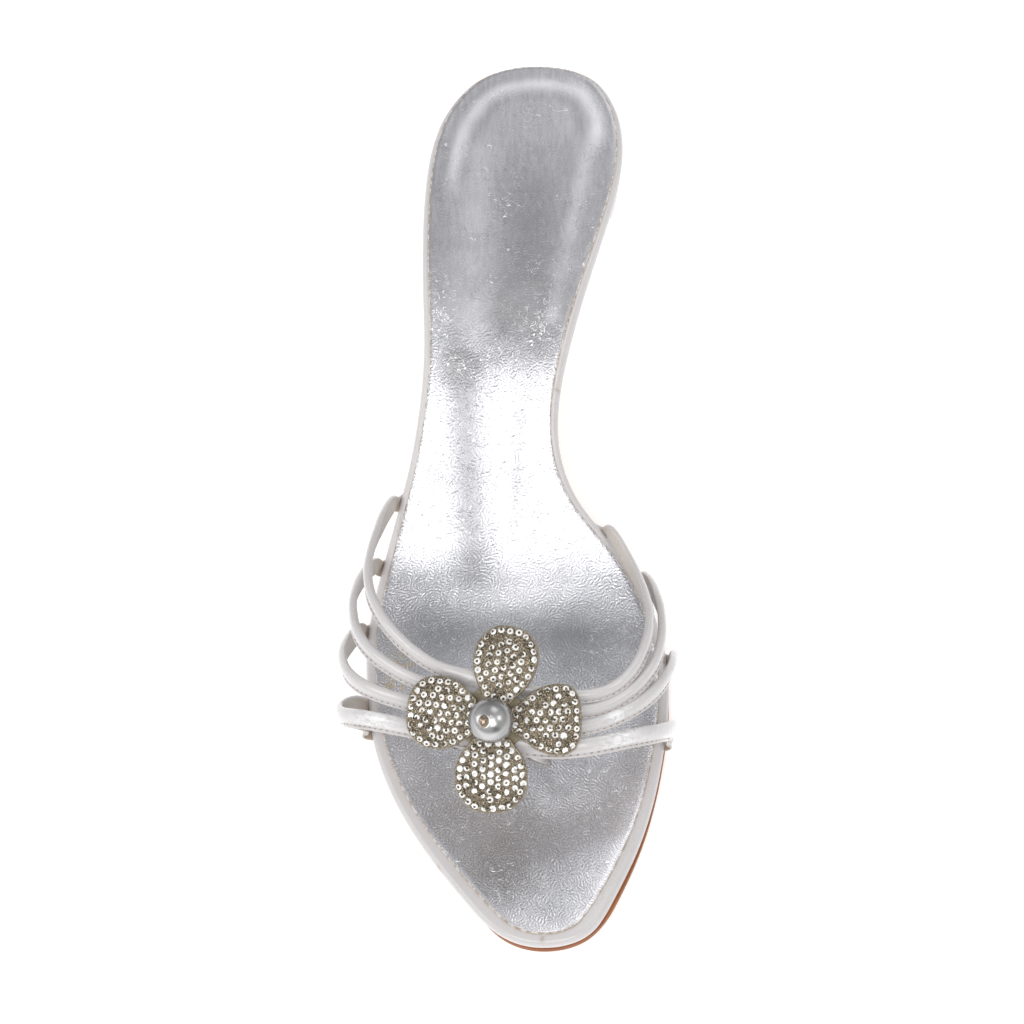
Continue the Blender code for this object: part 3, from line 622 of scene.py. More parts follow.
class Look:
    """A material in the making: its shader, its nodes and its colour so far."""

    def __init__(self, name, **values):
        self.material = bpy.data.materials.new(name)
        self.material.use_nodes = True
        self.tree = self.material.node_tree
        self.shader = self.tree.nodes["Principled BSDF"]
        for key, value in values.items():
            self.shader.inputs[key.replace("_", " ")].default_value = value
        self.where = self.place((1, 1, 1))
        self.colour = None

    def nodes(self, kind, inputs, **settings):
        """The outputs of a node whose inputs are numbers or sockets, by name or by number."""
        made = self.tree.nodes.new(kind)
        for key, value in settings.items():
            setattr(made, key, value)
        for key, value in inputs.items():
            if isinstance(value, bpy.types.NodeSocket):
                self.tree.links.new(value, made.inputs[key])
            else:
                made.inputs[key].default_value = value
        return made.outputs

    def place(self, stretch):
        """The place on the object in millimetres, with each axis stretched."""
        where = self.nodes("ShaderNodeTexCoord", {})["Object"]
        scale = tuple(1 / MM * factor for factor in stretch)
        return self.nodes("ShaderNodeMapping", {"Vector": where, "Scale": scale})["Vector"]

    def attribute(self, name):
        """The number that the mesh's points carry under this name."""
        return self.nodes("ShaderNodeAttribute", {}, attribute_name=name)["Fac"]

    def noise(self, size, detail=2.0, roughness=0.5, distortion=0.0, stretch=None):
        """Smooth noise from 0 to 1 whose marks are about size millimetres."""
        where = self.place(stretch) if stretch else self.where
        inputs = {"Vector": where, "Scale": 1 / size, "Detail": detail}
        inputs.update({"Roughness": roughness, "Distortion": distortion})
        return self.nodes("ShaderNodeTexNoise", inputs)["Fac"]

    def cells(self, size, feature="SMOOTH_F1", output="Distance"):
        inputs = {"Vector": self.where, "Scale": 1 / size}
        return self.nodes("ShaderNodeTexVoronoi", inputs, feature=feature)[output]

    def streaks(self, pitch, turn, straightness):
        """Short parallel ridges from 0 to 1, pitch millimetres apart, along the angle turn."""
        inputs = {"Vector": self.where, "Scale": 1 / (2 * pitch), "Frequency": 2.0}
        inputs.update({"Anisotropy": straightness, 4: turn})
        return self.nodes("ShaderNodeTexGabor", inputs)["Value"]

    def spread(self, value, low, high, to_low=0.0, to_high=1.0):
        """Eases value from to_low at low to to_high at high."""
        inputs = {0: value, 1: low, 2: high, 3: to_low, 4: to_high}
        return self.nodes("ShaderNodeMapRange", inputs, interpolation_type="SMOOTHSTEP")[0]

    def maths(self, operation, *values):
        return self.nodes("ShaderNodeMath", dict(enumerate(values)), operation=operation)[0]

    def times(self, first, second):
        return self.maths("MULTIPLY", first, second)

    def patches(self, size, detail, low, high, to_low=0.0):
        """Uneven patches about size millimetres wide, from to_low to 1."""
        return self.spread(self.noise(size, detail), low, high, to_low)

    def contour_lines(self, size, levels, thin, distortion=0.6):
        """Worm-like lines: 1 on the level lines of a smooth noise, 0 between them."""
        field = self.noise(size, 1.0, 0.5, distortion)
        folded = self.maths("PINGPONG", self.times(field, levels), 0.5)
        return self.spread(folded, 0.0, thin, 1.0, 0.0)

    def mix(self, factor, first, second):
        """Mixes two colours, each a socket or red, green and blue, by a factor from 0 to 1."""
        first, second = ((*one, 1.0) if isinstance(one, tuple) else one for one in (first, second))
        return self.nodes("ShaderNodeMix", {0: factor, 6: first, 7: second}, data_type="RGBA")[2]

    def base(self, factor, dark, light):
        """Starts the colour."""
        self.colour = self.mix(factor, dark, light)

    def cover(self, factor, colour, share=1.0):
        """Lays a colour over the colour so far, as far as factor times share says."""
        if share != 1.0:
            factor = self.times(factor, share)
        self.colour = self.mix(factor, self.colour, colour)

    def finish(self, rough=None, heights=()):
        """The material, with its roughness and its relief: values from 0 to 1 and full heights."""
        self.tree.links.new(self.colour, self.shader.inputs["Base Color"])
        if rough is not None:
            self.tree.links.new(rough, self.shader.inputs["Roughness"])
        under = {}
        for value, height in heights:
            inputs = {"Height": value, "Distance": height * MM, "Strength": 1.0, **under}
            under = {"Normal": self.nodes("ShaderNodeBump", inputs)["Normal"]}
        if under:
            self.tree.links.new(under["Normal"], self.shader.inputs["Normal"])
        return self.material


def white_leather(name, coat, coat_roughness):
    """Glossy white leather: fine grain, faint wrinkles with painted shade, a crushed polish with a painted
    highlight where it shines, and dirt on the rim's seams and painted shade on the straps.
    """
    look = Look(name, Roughness=0.3, Coat_Weight=coat, Coat_Roughness=coat_roughness)
    cloud = look.noise(14.0, 3.0)
    grain = look.noise(0.45, 3.0, 0.6)
    shaded_creases = look.times(look.contour_lines(6.0, 4.0, 0.06), look.patches(18.0, 2.0, 0.52, 0.62))
    crushed = look.noise(1.3, 3.0, 0.6, 1.0, (0.5, 1.0, 1.0))
    painted_shine = look.times(look.attribute("painted_shine"), look.spread(crushed, 0.36, 0.58))
    look.base(cloud, (0.555, 0.533, 0.533), (0.608, 0.586, 0.587))
    # Painted shade in the faint wrinkles.
    look.cover(shaded_creases, (0.50, 0.45, 0.40), 0.35)
    # Painted highlight where the strap shines.
    look.cover(painted_shine, (0.80, 0.80, 0.80))
    # Dirt on the rim's seams; painted shade in the straps' folds, along their edges and towards their
    # ends.
    look.cover(look.attribute("soil_and_shade"), (0.36, 0.27, 0.19))
    heights = [(look.cells(0.7), 0.012), (grain, 0.012), (shaded_creases, -0.03), (painted_shine, 0.03), (cloud, 0.15)]
    return look.finish(look.spread(grain, 0.25, 0.75, 0.24, 0.36), heights)


def lining_leather():
    look = Look("lining", Roughness=0.7, Sheen_Weight=0.15)
    fine = look.noise(0.35, 3.0, 0.65)
    cross = look.noise(0.9, 3.0, 0.65, 0.5, (2.2, 0.5, 0.5))
    look.base(cross, (0.44, 0.38, 0.325), (0.67, 0.635, 0.60))
    look.cover(look.spread(look.noise(9.0), 0.4, 0.7, 0.0, 0.5), (0.60, 0.56, 0.52))
    # Painted shade on the lining along its edges and towards the strap's ends.
    look.cover(look.attribute("soil_and_shade"), (0.34, 0.23, 0.14))
    return look.finish(look.spread(fine, 0.2, 0.8, 0.6, 0.8), [(fine, 0.05), (cross, 0.08)])


def silver_foil():
    """Metallic foil on soft leather: fingerprint-like crinkles and crack lines with painted highlights and
    shade, painted reflections and faint stains.
    """
    look = Look("silver_foil", Metallic=0.9, Roughness=0.26)
    seat = look.attribute("seat")
    crinkle = look.attribute("crinkle")
    worms = look.streaks(0.82, look.times(look.noise(5.0, 1.0), 9.0), 0.65)
    fine = look.streaks(0.62, look.times(look.noise(2.6, 1.0), 9.0), 0.6)
    grain = look.noise(0.3, 3.0, 0.7)
    dents = look.noise(9.0)
    # Crack lines, raised and painted white as highlights.
    crack_glints = look.times(look.contour_lines(5.0, 4.0, 0.035, 1.6), look.patches(7.0, 2.0, 0.52, 0.60))
    look.base(dents, (0.57, 0.575, 0.615), (0.71, 0.715, 0.755))
    cover_crinkles(look, seat, crinkle, worms, fine)
    cover_creases(look, worms, grain)
    cover_cracks(look, seat, crinkle, crack_glints)
    rough = look.maths("MULTIPLY_ADD", seat, 0.12, look.spread(grain, 0.2, 0.8, 0.20, 0.34))
    raised = look.times(worms, crinkle)
    picked = look.times(fine, crinkle)
    heights = [(look.noise(24.0), 0.4), (dents, 0.12), (raised, 0.075), (picked, 0.035)]
    return look.finish(rough, heights + [(crack_glints, 0.05), (grain, 0.015)])


def cover_crinkles(look, seat, crinkle, worms, fine):
    """The foil's brushed sheen, darker over the heel's seat, and over it the painted highlights along its
    crinkles' lines and painted shade in their hollows.
    """
    patch = look.times(look.patches(6.0, 3.0, 0.36, 0.60, 0.3), crinkle)
    brushed = look.spread(look.noise(1.1, 3.0, 0.6, 0.3, (1.0, 0.12, 1.0)), 0.35, 0.65)
    sheen = look.times(brushed, look.maths("MULTIPLY_ADD", seat, 0.35, 0.3))
    hollow = (0.32, 0.32, 0.34)
    look.cover(sheen, (0.48, 0.475, 0.495))
    look.cover(seat, (0.30, 0.295, 0.31), 0.38)
    # Painted shade in the crinkles' hollows.
    look.cover(look.times(look.spread(worms, 0.48, 0.30), crinkle), hollow, 0.6)
    look.cover(look.times(look.spread(fine, 0.48, 0.28), patch), hollow, 0.6)
    # Painted highlights along the crinkles' lines.
    look.cover(look.times(look.spread(worms, 0.54, 0.72), patch), (1.0, 1.0, 1.0), 0.9)


def cover_creases(look, worms, grain):
    """The foil's painted highlights and painted shade for its reflections, painted shade in its crease,
    and its grain.
    """
    shaded_creases = look.times(look.attribute("crease"), look.spread(worms, 0.60, 0.36))
    # Painted highlights and painted shade that stand in for the foil's reflections.
    look.cover(look.attribute("painted_highlight"), (0.98, 0.965, 1.0))
    look.cover(look.attribute("painted_shade"), (0.24, 0.24, 0.25))
    # Painted shade in the arch's crease.
    look.cover(shaded_creases, (0.27, 0.27, 0.285), 0.7)
    look.cover(look.spread(grain, 0.58, 0.75, 0.0, 0.25), (0.38, 0.38, 0.39))


def cover_cracks(look, seat, crinkle, crack_glints):
    """The foil's hairs and crackle on the heel's seat, its crack and curl lines painted white as
    highlights, and its stains.
    """
    drift = look.maths("MULTIPLY_ADD", look.noise(7.0, 3.0), 4.4, -0.6)
    hairs = look.times(look.spread(look.streaks(0.62, drift, 0.7), 0.53, 0.75), seat)
    worn = look.times(look.patches(7.0, 3.0, 0.40, 0.60), seat)
    crackle = look.times(look.contour_lines(2.2, 4.0, 0.12, 0.7), worn)
    curls = look.times(look.contour_lines(2.4, 3.0, 0.05, 1.2), look.patches(3.6, 2.0, 0.52, 0.62))
    split = look.times(look.contour_lines(2.8, 5.0, 0.12, 1.6), look.patches(1.6, 2.0, 0.42, 0.52))
    look.cover(hairs, (0.85, 0.84, 0.87), 0.20)
    look.cover(crackle, (0.17, 0.165, 0.17), 0.28)
    # Painted highlights on the crack lines and the crinkles' curls.
    look.cover(look.maths("MAXIMUM", crack_glints, look.times(curls, crinkle)), (1.0, 1.0, 1.0), 0.7)
    # Painted highlights on crack lines within the listed patches.
    look.cover(look.times(split, look.attribute("cracks_and_glints")), (1.0, 1.0, 1.0))
    blot = look.times(look.attribute("stain"), look.patches(1.2, 3.0, 0.45, 0.62))
    look.cover(blot, (0.66, 0.50, 0.28))


def cut_edge():
    """The raw edge of the insole sock."""
    look = Look("sock_edge", Roughness=0.7)
    broken = look.noise(1.6, 3.0, 0.7)
    look.base(look.spread(broken, 0.4, 0.6), (0.40, 0.31, 0.23), (0.70, 0.665, 0.62))
    return look.finish(None, [(broken, 0.08)])


def sole_edge_leather():
    look = Look("sole_edge", Roughness=0.5, Specular_IOR_Level=0.3)
    layers = look.noise(0.8, 3.0, stretch=(0.1, 0.1, 3.0))
    cloud = look.noise(8.0, 3.0)
    look.base(layers, (0.20, 0.058, 0.016), (0.36, 0.125, 0.038))
    look.cover(look.spread(cloud, 0.5, 0.75, 0.0, 0.6), (0.42, 0.17, 0.06))
    return look.finish(look.spread(cloud, 0.2, 0.8, 0.42, 0.6), [(layers, 0.04), (cloud, 0.1)])


def sole_bottom_leather():
    """The walking face: tan leather, worn dark where it treads."""
    look = Look("sole_bottom", Roughness=0.55)
    grain = look.noise(0.5, 4.0, 0.65)
    scuff = look.noise(1.6, 3.0, 0.6, 0.4, (1.0, 0.12, 1.0))
    look.base(look.noise(16.0, 3.0), (0.42, 0.22, 0.10), (0.52, 0.30, 0.15))
    worn = look.times(look.attribute("wear"), look.spread(scuff, 0.35, 0.65))
    look.cover(worn, (0.20, 0.135, 0.085))
    look.cover(look.spread(grain, 0.55, 0.8, 0.0, 0.4), (0.30, 0.15, 0.07))
    return look.finish(look.spread(scuff, 0.3, 0.7, 0.42, 0.7), [(grain, 0.05), (scuff, 0.06)])


def tip_rubber():
    look = Look("tip_rubber", Roughness=0.55)
    grain = look.noise(0.3, 3.0, 0.6)
    scuff = look.noise(0.9, 3.0, 0.6, stretch=(1.0, 1.0, 0.2))
    look.base(scuff, (0.035, 0.030, 0.028), (0.10, 0.085, 0.075))
    return look.finish(look.spread(grain, 0.2, 0.8, 0.45, 0.7), [(grain, 0.04), (scuff, 0.05)])


def stitch_thread():
    look = Look("stitch_thread", Roughness=0.6, Sheen_Weight=0.2)
    twist = look.noise(0.18)
    # The thread is painted dark grey: painted shade of the stitches sunk in the flange.
    look.base(twist, (0.16, 0.14, 0.13), (0.34, 0.31, 0.29))
    return look.finish(None, [(twist, 0.04)])


def antique_brass():
    """The petals' cast face: dark khaki bronze with pale golden grains and a thin polished rim."""
    look = Look("antique_brass", Metallic=0.7, Roughness=0.4)
    grains = look.cells(0.34)
    lot = look.cells(0.34, "F1", "Color")
    cloud = look.noise(3.0, 3.0)
    rim = look.attribute("rim")
    look.base(cloud, (0.165, 0.136, 0.098), (0.265, 0.222, 0.163))
    look.cover(look.spread(lot, 0.25, 0.40, 0.8, 0.0), (0.05, 0.042, 0.032))
    lit = look.times(look.spread(grains, 0.12, 0.42, 1.0, 0.0), look.spread(lot, 0.52, 0.66))
    look.cover(lit, (0.88, 0.76, 0.55))
    look.cover(rim, (0.30, 0.255, 0.19), 0.8)
    raised = look.times(grains, look.spread(rim, 0.0, 1.0, 1.0, 0.3))
    return look.finish(look.spread(rim, 0.0, 1.0, 0.42, 0.30), [(raised, -0.16), (cloud, 0.1)])


def plain_metal(name, dark, light, roughness):
    look = Look(name, Metallic=1.0, Roughness=roughness)
    cloud = look.noise(1.2, 3.0)
    look.base(cloud, dark, light)
    rough = look.spread(cloud, 0.3, 0.7, roughness * 0.8, roughness * 1.3)
    return look.finish(rough, [(cloud, 0.03)])


def satin_silver():
    """The bead: a soft pearly silver, with painted shade towards its back where it would mirror dark
    surroundings.
    """
    look = Look("satin_silver", Metallic=0.95, Roughness=0.2, Coat_Weight=0.25, Coat_Roughness=0.1)
    cloud = look.noise(2.5, 3.0)
    look.base(cloud, (0.49, 0.485, 0.483), (0.575, 0.57, 0.568))
    # Painted shade where the bead would mirror dark surroundings.
    look.cover(look.attribute("painted_shade"), (0.20, 0.197, 0.20))
    heights = [(cloud, 0.02), (look.noise(0.3), 0.002)]
    return look.finish(look.spread(cloud, 0.3, 0.7, 0.24, 0.30), heights)


def stone_crown():
    """A stone's facets over its foil, painted near white as flashing highlights, whitest where
    painted_glint is high.
    """
    look = Look("stone_crown", Metallic=0.25, Roughness=0.08)
    cloud = look.noise(0.5)
    look.base(look.attribute("painted_glint"), (0.88, 0.86, 0.82), (0.99, 0.99, 0.98))
    look.cover(look.spread(cloud, 0.58, 0.75, 0.0, 0.4), (0.55, 0.51, 0.44))
    return look.finish(look.spread(cloud, 0.3, 0.7, 0.05, 0.14))


def stone_shade():
    """A stone's facets painted dark: painted shade where they would mirror its dark setting."""
    look = Look("stone_shade", Metallic=0.9, Roughness=0.12)
    cloud = look.noise(0.4)
    look.base(cloud, (0.10, 0.085, 0.06), (0.34, 0.30, 0.23))
    return look.finish(look.spread(cloud, 0.3, 0.7, 0.08, 0.18))


def stone_table():
    """A stone's flat middle: painted dark in most stones and painted light as a flash in a few."""
    look = Look("stone_table", Metallic=0.5, Roughness=0.08)
    cloud = look.noise(0.4)
    painted_glint = look.spread(look.attribute("painted_glint"), 0.55, 0.72)
    look.base(painted_glint, (0.12, 0.10, 0.075), (0.90, 0.89, 0.86))
    look.cover(look.spread(cloud, 0.55, 0.75, 0.0, 0.5), (0.16, 0.14, 0.11))
    return look.finish(look.spread(cloud, 0.3, 0.7, 0.04, 0.12))


def studio_floor():
    look = Look("studio_floor", Roughness=0.6, Emission_Strength=0.33, Emission_Color=(1, 1, 1, 1))
    look.base(look.noise(300.0), (0.93, 0.93, 0.93), (0.95, 0.95, 0.95))
    return look.finish()


def make_looks():
    metals = {
        "grain_brass": ((0.27, 0.23, 0.17), (0.62, 0.54, 0.41), 0.3),
        "pin_brass": ((0.21, 0.16, 0.115), (0.42, 0.33, 0.255), 0.2),
        # A darker copy of the petals' brass: painted shade on the plate between the petals.
        "shaded_plate_brass": ((0.085, 0.072, 0.052), (0.165, 0.142, 0.102), 0.4),
        "tongue_metal": ((0.20, 0.19, 0.185), (0.36, 0.35, 0.34), 0.3),
    }
    return {
        "white_leather": white_leather("white_leather_cover", 0.5, 0.08),
        "strap_leather": white_leather("white_leather_straps", 1.0, 0.03),
        "lining": lining_leather(),
        "silver_foil": silver_foil(),
        "sock_edge": cut_edge(),
        "sole_edge": sole_edge_leather(),
        "sole_bottom": sole_bottom_leather(),
        "tip_rubber": tip_rubber(),
        "stitch_thread": stitch_thread(),
        "antique_brass": antique_brass(),
        **{name: plain_metal(name, *values) for name, values in metals.items()},
        "satin_silver": satin_silver(),
        "stone_crown": stone_crown(),
        "stone_shade": stone_shade(),
        "stone_table": stone_table(),
        "studio_floor": studio_floor(),
    }


# Sole, board, sock and heel


def make_outsole(looks):
    """The leather outsole, whose edge peeps out beside the rim along the medial forefoot."""
    top = BOARD_THICK + GAP
    bottom = top + OUTSOLE_THICK
    chamfer = OUTSOLE_CHAMFER
    edge = [
        (1.8, bottom), (chamfer, bottom), (0.1, bottom - 0.35 * chamfer), (0.0, bottom - chamfer),
        (0.0, (top + bottom) / 2), (0.02, top + 0.25), (0.15, top),
    ]
    rings, faces = sole_layer(peeping_inset, edge, BREAST_ALONG, OUTSOLE_SPANS)
    count = rings.shape[1]
    kinds = np.ones(len(faces), int)
    kinds[: count // 2 + count] = 0
    materials = [looks["sole_bottom"], looks["sole_edge"]]
    obj = add_piece("outsole_leather", place(rings), faces, materials, ["outsole"], kinds)
    along = rings[..., 0]
    point_values(obj, "wear", ease((118 - along) / 40) * ease((along - 8) / 25))


def board_section():
    """The board's rounded edge, bottom first, as many (inset, depth)."""
    index = np.arange(len(BOARD_EDGE["inset"]), dtype=float)
    at = np.linspace(0, index[-1], BOARD_LEVELS)
    inset, depth = (smooth_through(index, column)(at) for column in BOARD_EDGE.values())
    return np.column_stack([inset, depth * BOARD_THICK])


def make_board(looks):
    """The footbed board in its leather cover, with a slightly uneven wrapped edge."""
    edge = board_section()
    rings, faces = sole_layer(flush, edge, LENGTH, BOARD_SPANS)
    waves = np.linspace(0, 2 * pi, rings.shape[1], endpoint=False)
    sag = 0.05 * np.sin(31 * waves + 1.0) + 0.04 * np.sin(53 * waves + 2.2)
    depth = edge[:, 1] / BOARD_THICK
    rings[..., 2] += sag * np.sin(pi * np.clip(depth, 0, 1))[:, None] - 0.03
    materials = [looks["white_leather"]]
    obj = add_piece("footbed_rim", place(rings), faces, materials, ["footbed_board"])
    point_values(obj, "soil_and_shade", rim_soil(rings[..., 0], rings[..., 1]))


def rim_soil(along, across):
    soil_and_shade = np.zeros(along.shape)
    for seam_along, side, reach, strength in RIM_SEAMS:
        seam = bell(along, seam_along, reach) * (np.sign(across - sole_middle(along)) == side)
        soil_and_shade = np.maximum(soil_and_shade, strength * seam)
    for start, end, reach, strength in RIM_TICKS:
        soil_and_shade = np.maximum(soil_and_shade, strength * band(along, across, start, end, reach))
    return soil_and_shade


def seat_arc(along, across):
    """1 where the seat's ridge runs, round the back of the heel, easing to 0 towards the arch."""
    side = ease((across - sole_middle(along)) / 10 + 0.5)
    return ease((along - 188 - 12 * side) / 12)


def sock_relief(along, across, inset):
    """Height of the sock over its plain surface, from its distance to its own edge."""
    heel = ease((along - 150) / 24)
    arc = seat_arc(along, across)
    relief = arc * 0.17 * bell(inset, SEAT_RIDGE_INSET, 4.6)
    relief -= arc * 0.05 * bell(inset, 1.7, 2.6)
    relief += heel * 0.10 * ease((inset - 6) / 8)
    for start, end, width, _ in SEAT_BANDS:
        relief += heel * 0.05 * band(along, across, start, end, width)
    arch = ease((along - 96) / 16) * ease((168 - along) / 16)
    middle = sole_middle(along)
    relief -= 0.16 * arch * bell(across, middle - 5.5, 11.0)
    relief -= 0.06 * arch * bell(across, middle + 8.5, 4.0)
    tread = ease((95 - along) / 20) * ease((along - 12) / 20)
    relief += 0.10 * tread * np.sin(along * 0.21 + 0.6) * np.sin(across * 0.17 + 1.0)
    relief += 0.03 * np.sin(along * 0.47 + across * 0.21) * np.sin(across * 0.39 - along * 0.12)
    for start, end, reach, height in FOIL_CREASES:
        relief += height * band(along, across, start, end, reach)
    return relief


def foil_painted_light(along, across, inset):
    """How far the foil is painted lighter (positive, painted highlight) or darker (negative, painted
    shade) than its plain tone.
    """
    arc = seat_arc(along, across)
    # Painted highlight along the seat's raised ridge, partly its polish, then painted shade inside it.
    tone = 0.60 * arc * bell(inset, SEAT_RIDGE_INSET, 3.4)
    tone -= 0.14 * arc * bell(inset, SEAT_RIDGE_INSET + 3.7, 2.4)
    # Painted highlights on the seat's raised bands.
    for start, end, width, strength in SEAT_BANDS:
        tone += strength * band(along, across, start, end, width)
    # Painted shade down the arch.
    for start, end, width, strength in ARCH_STREAKS:
        tone -= strength * band(along, across, start, end, width)
    # Painted highlight along the toe's edge, from its middle to its medial side.
    tone += 0.6 * ease((62 - along) / 34) * ease((across + 12) / 16) * bell(inset, 0.0, 6.5)
    # Soft spots of painted highlight and painted shade.
    for *where, change in FOIL_PAINTED_SPOTS:
        tone += change * spot(along, across, *where)
    return tone


def foil_values(along, across, inset):
    """What the foil's material reads at each point of the sock, each from 0 to 1."""
    tone = foil_painted_light(along, across, inset)
    middle = sole_middle(along)
    # Where the arch's crease gets painted shade.
    crease = bell(across, middle - 5.5, 11.0) * ease((along - 92) / 14) * ease((152 - along) / 12)
    faint = bell(across, middle + 8.0, 4.5) * ease((along - 112) / 8) * ease((150 - along) / 10)
    crinkle = (0.72 + 0.28 * ease((along - 82) / 12)) * (1 - 0.82 * ease((along - 144) / 20))
    cracks_and_glints = [strength * spot(along, across, *where) for *where, strength in CRACK_AND_GLINT_PATCHES]
    stains = [
        0.8 * ease(1 - np.hypot(along - stain_along, across - stain_across) / reach)
        for stain_along, stain_across, reach in FOIL_STAINS
    ]
    return {
        # Painted highlight and painted shade, from the tone.
        "painted_highlight": np.clip(tone, 0, 1),
        "painted_shade": np.clip(-tone, 0, 1),
        "stain": np.max(stains, axis=0),
        "crease": np.maximum(crease, 0.45 * faint),
        "crinkle": crinkle,
        "seat": ease((along - 150) / 24),
        "cracks_and_glints": np.max(cracks_and_glints, axis=0),
    }


def sock_top(outline):
    """The sock's upper face: a grid of rungs between the two sides of its outline."""
    count = len(outline)
    left = outline[: SOCK_SPANS + 1]
    right = outline[(count - np.arange(SOCK_SPANS + 1)) % count]
    even = np.linspace(0, 1, SOCK_RUNGS + 1)
    share = 0.5 * (0.5 - 0.5 * np.cos(pi * even)) + 0.5 * even
    plan = (left[:, None, :] + (right - left)[:, None, :] * share[None, :, None]).reshape(-1, 2)
    along, across = plan.T
    inset = outline_distance(plan, outline)
    up = below_board_top(along, SOCK_SUNK - GAP - SOCK_THICK)
    up += sock_relief(along, across, inset) * ease(inset / 1.5) - 0.14 * bell(inset, 0.0, 0.7)
    return np.column_stack([plan, up])


def make_sock(looks):
    """The foil sock, with a bevelled raw edge round it."""
    outline = sole_ring(sock_inset, SOCK_BEVEL[0], LENGTH, SOCK_SPANS)
    count = len(outline)
    grid = sock_top(outline)
    faces = strip_faces(SOCK_SPANS + 1, SOCK_RUNGS + 1, False)
    kinds = [0] * len(faces) + [1] * (2 * count)
    border = [i * (SOCK_RUNGS + 1) for i in range(SOCK_SPANS + 1)]
    border += [i * (SOCK_RUNGS + 1) + SOCK_RUNGS for i in range(SOCK_SPANS - 1, 0, -1)]
    lips = sole_ring(sock_inset, 0.0, LENGTH, SOCK_SPANS)
    upper_wall, lower_wall = (
        np.column_stack([lips, below_board_top(lips[:, 0], -height)])
        for height in (GAP + SOCK_THICK - SOCK_BEVEL[1], SOCK_SUNK)
    )
    base = len(grid)
    for i in range(count):
        j = (i + 1) % count
        faces.append((border[i], base + i, base + j, border[j]))
        faces.append((base + i, base + count + i, base + count + j, base + j))
    points = np.concatenate([grid, upper_wall, lower_wall])
    materials = [looks["silver_foil"], looks["sock_edge"]]
    name = "insole_sock_leather"
    obj = add_piece(name, place(points), faces, materials, ["insole_sock"], kinds)
    along, across, _ = points.T
    inset = outline_distance(points[:, :2], outline)
    for name, values in foil_values(along, across, inset).items():
        point_values(obj, name, values)


def seat_across(along, side):
    """A place across the heel's seat: -1 is its lateral edge, 1 its medial edge."""
    lateral, medial = sole_sides(along)
    return (lateral + medial) / 2 + side * ((medial - lateral) / 2 - HEEL_SEAT_INSET)


def heel_half(drop, proud):
    """Half of one level of the heel: along, share of the half width and place across the seat."""
    front, back, half_width = (level(drop) for level in heel_levels.values())
    front -= proud
    back += proud
    middle = front + HEEL_ROUND_FROM * (back - front)
    hollow = HEEL_HOLLOW * (half_width + proud) * np.minimum(drop * 6, 1.0)
    half = [(front + hollow, 0.0, 0.0), (front + 0.75 * hollow, 0.43, 0.5), (front, 0.86, 1.0)]
    half.append((front + 0.35 * (middle - front), 0.97, 1.0))
    for angle in np.linspace(pi / 2, 0, HEEL_BACK_STEPS + 1):
        half.append((middle + (back - middle) * np.cos(angle), np.sin(angle), float(angle > 0)))
    return np.array(half), half_width + proud


def heel_ring(drop, proud):
    """One level of the heel, from the middle of its front round the lateral side and back."""
    half, half_width = heel_half(drop, proud)
    index = np.arange(len(half), dtype=float)
    at = np.linspace(0, index[-1], HEEL_SMOOTHING * (len(half) - 1) + 1)
    along, share, side = (smooth_through(index, column)(at) for column in half.T)
    own_shape = ease(drop / HEEL_OWN_SHAPE_FROM)
    rings = []
    for sign, keep in ((-1, slice(None)), (1, slice(-2, 0, -1))):
        seat = seat_across(along[keep], sign * side[keep])
        across = seat + (sign * share[keep] * half_width - seat) * own_shape
        rings.append(np.column_stack([along[keep], across]))
    return np.concatenate(rings)


def make_heel(looks):
    """The covered heel, from its seat under the board down to the top piece."""
    rings = []
    for drop in np.linspace(0, 1, HEEL_LEVELS):
        ring = heel_ring(drop, 0.0)
        seat = below_board_top(ring[:, 0], BOARD_THICK + GAP)
        up = (1 - drop) * seat + drop * (HEEL_TIP_HEIGHT + GAP)
        rings.append(np.column_stack([ring, up]))
    rings = np.array(rings)
    rings[:, 0, 0] += HEEL_FRONT_SET_BACK
    faces = tube_faces(HEEL_LEVELS, rings.shape[1])
    add_piece("heel_cover", place(rings), faces, [looks["white_leather"]], ["heel"])


def make_heel_tip(looks):
    """The rubber top piece, with a bevelled foot and a fine moulded line round it."""
    rings = []
    for proud, up in HEEL_TIP_EDGE:
        ring = heel_ring(1.0, proud)
        rings.append(np.column_stack([ring, np.full(len(ring), up)]))
    faces = tube_faces(len(rings), len(rings[0]))
    materials = [looks["tip_rubber"]]
    add_piece("heel_tip_rubber", place(rings), faces, materials, ["heel_top_piece"])


# Straps


def last_level(points):
    """How far out of the last's ridge line points lie: 1 on the last's surface."""
    along, across, up = points.T
    side = np.where(across < LAST_CENTRE_ACROSS, last["lateral"](along), last["medial"](along))
    widest = board_top(along) + LAST_SIDE_HEIGHT
    reach = np.where(up > widest, last["ridge"](along) - widest, LAST_SIDE_HEIGHT + BOARD_THICK)
    sideways = (across - LAST_CENTRE_ACROSS) / (side - LAST_CENTRE_ACROSS)
    return np.sqrt(sideways**2 + ((up - widest) / reach) ** 2)


def away_from_last(points):
    """Unit directions square to the last's surface, outwards."""
    step = 0.5
    slope = [last_level(points + step * axis) - last_level(points - step * axis) for axis in np.eye(3)]
    return unit(np.stack(slope, axis=1))


def strap_tail(anchor, side, lean):
    """From under the board, round its edge and up beside it, at one end of a strap."""
    along = anchor + lean * (STRAP_TAIL["out"][-1] - STRAP_TAIL["out"])
    edge = (lateral_edge if side < 0 else medial_edge)(end_angle(along))
    up = below_board_top(along, BOARD_THICK) + STRAP_TAIL["up"]
    return np.column_stack([along, edge + side * STRAP_TAIL["out"], up])


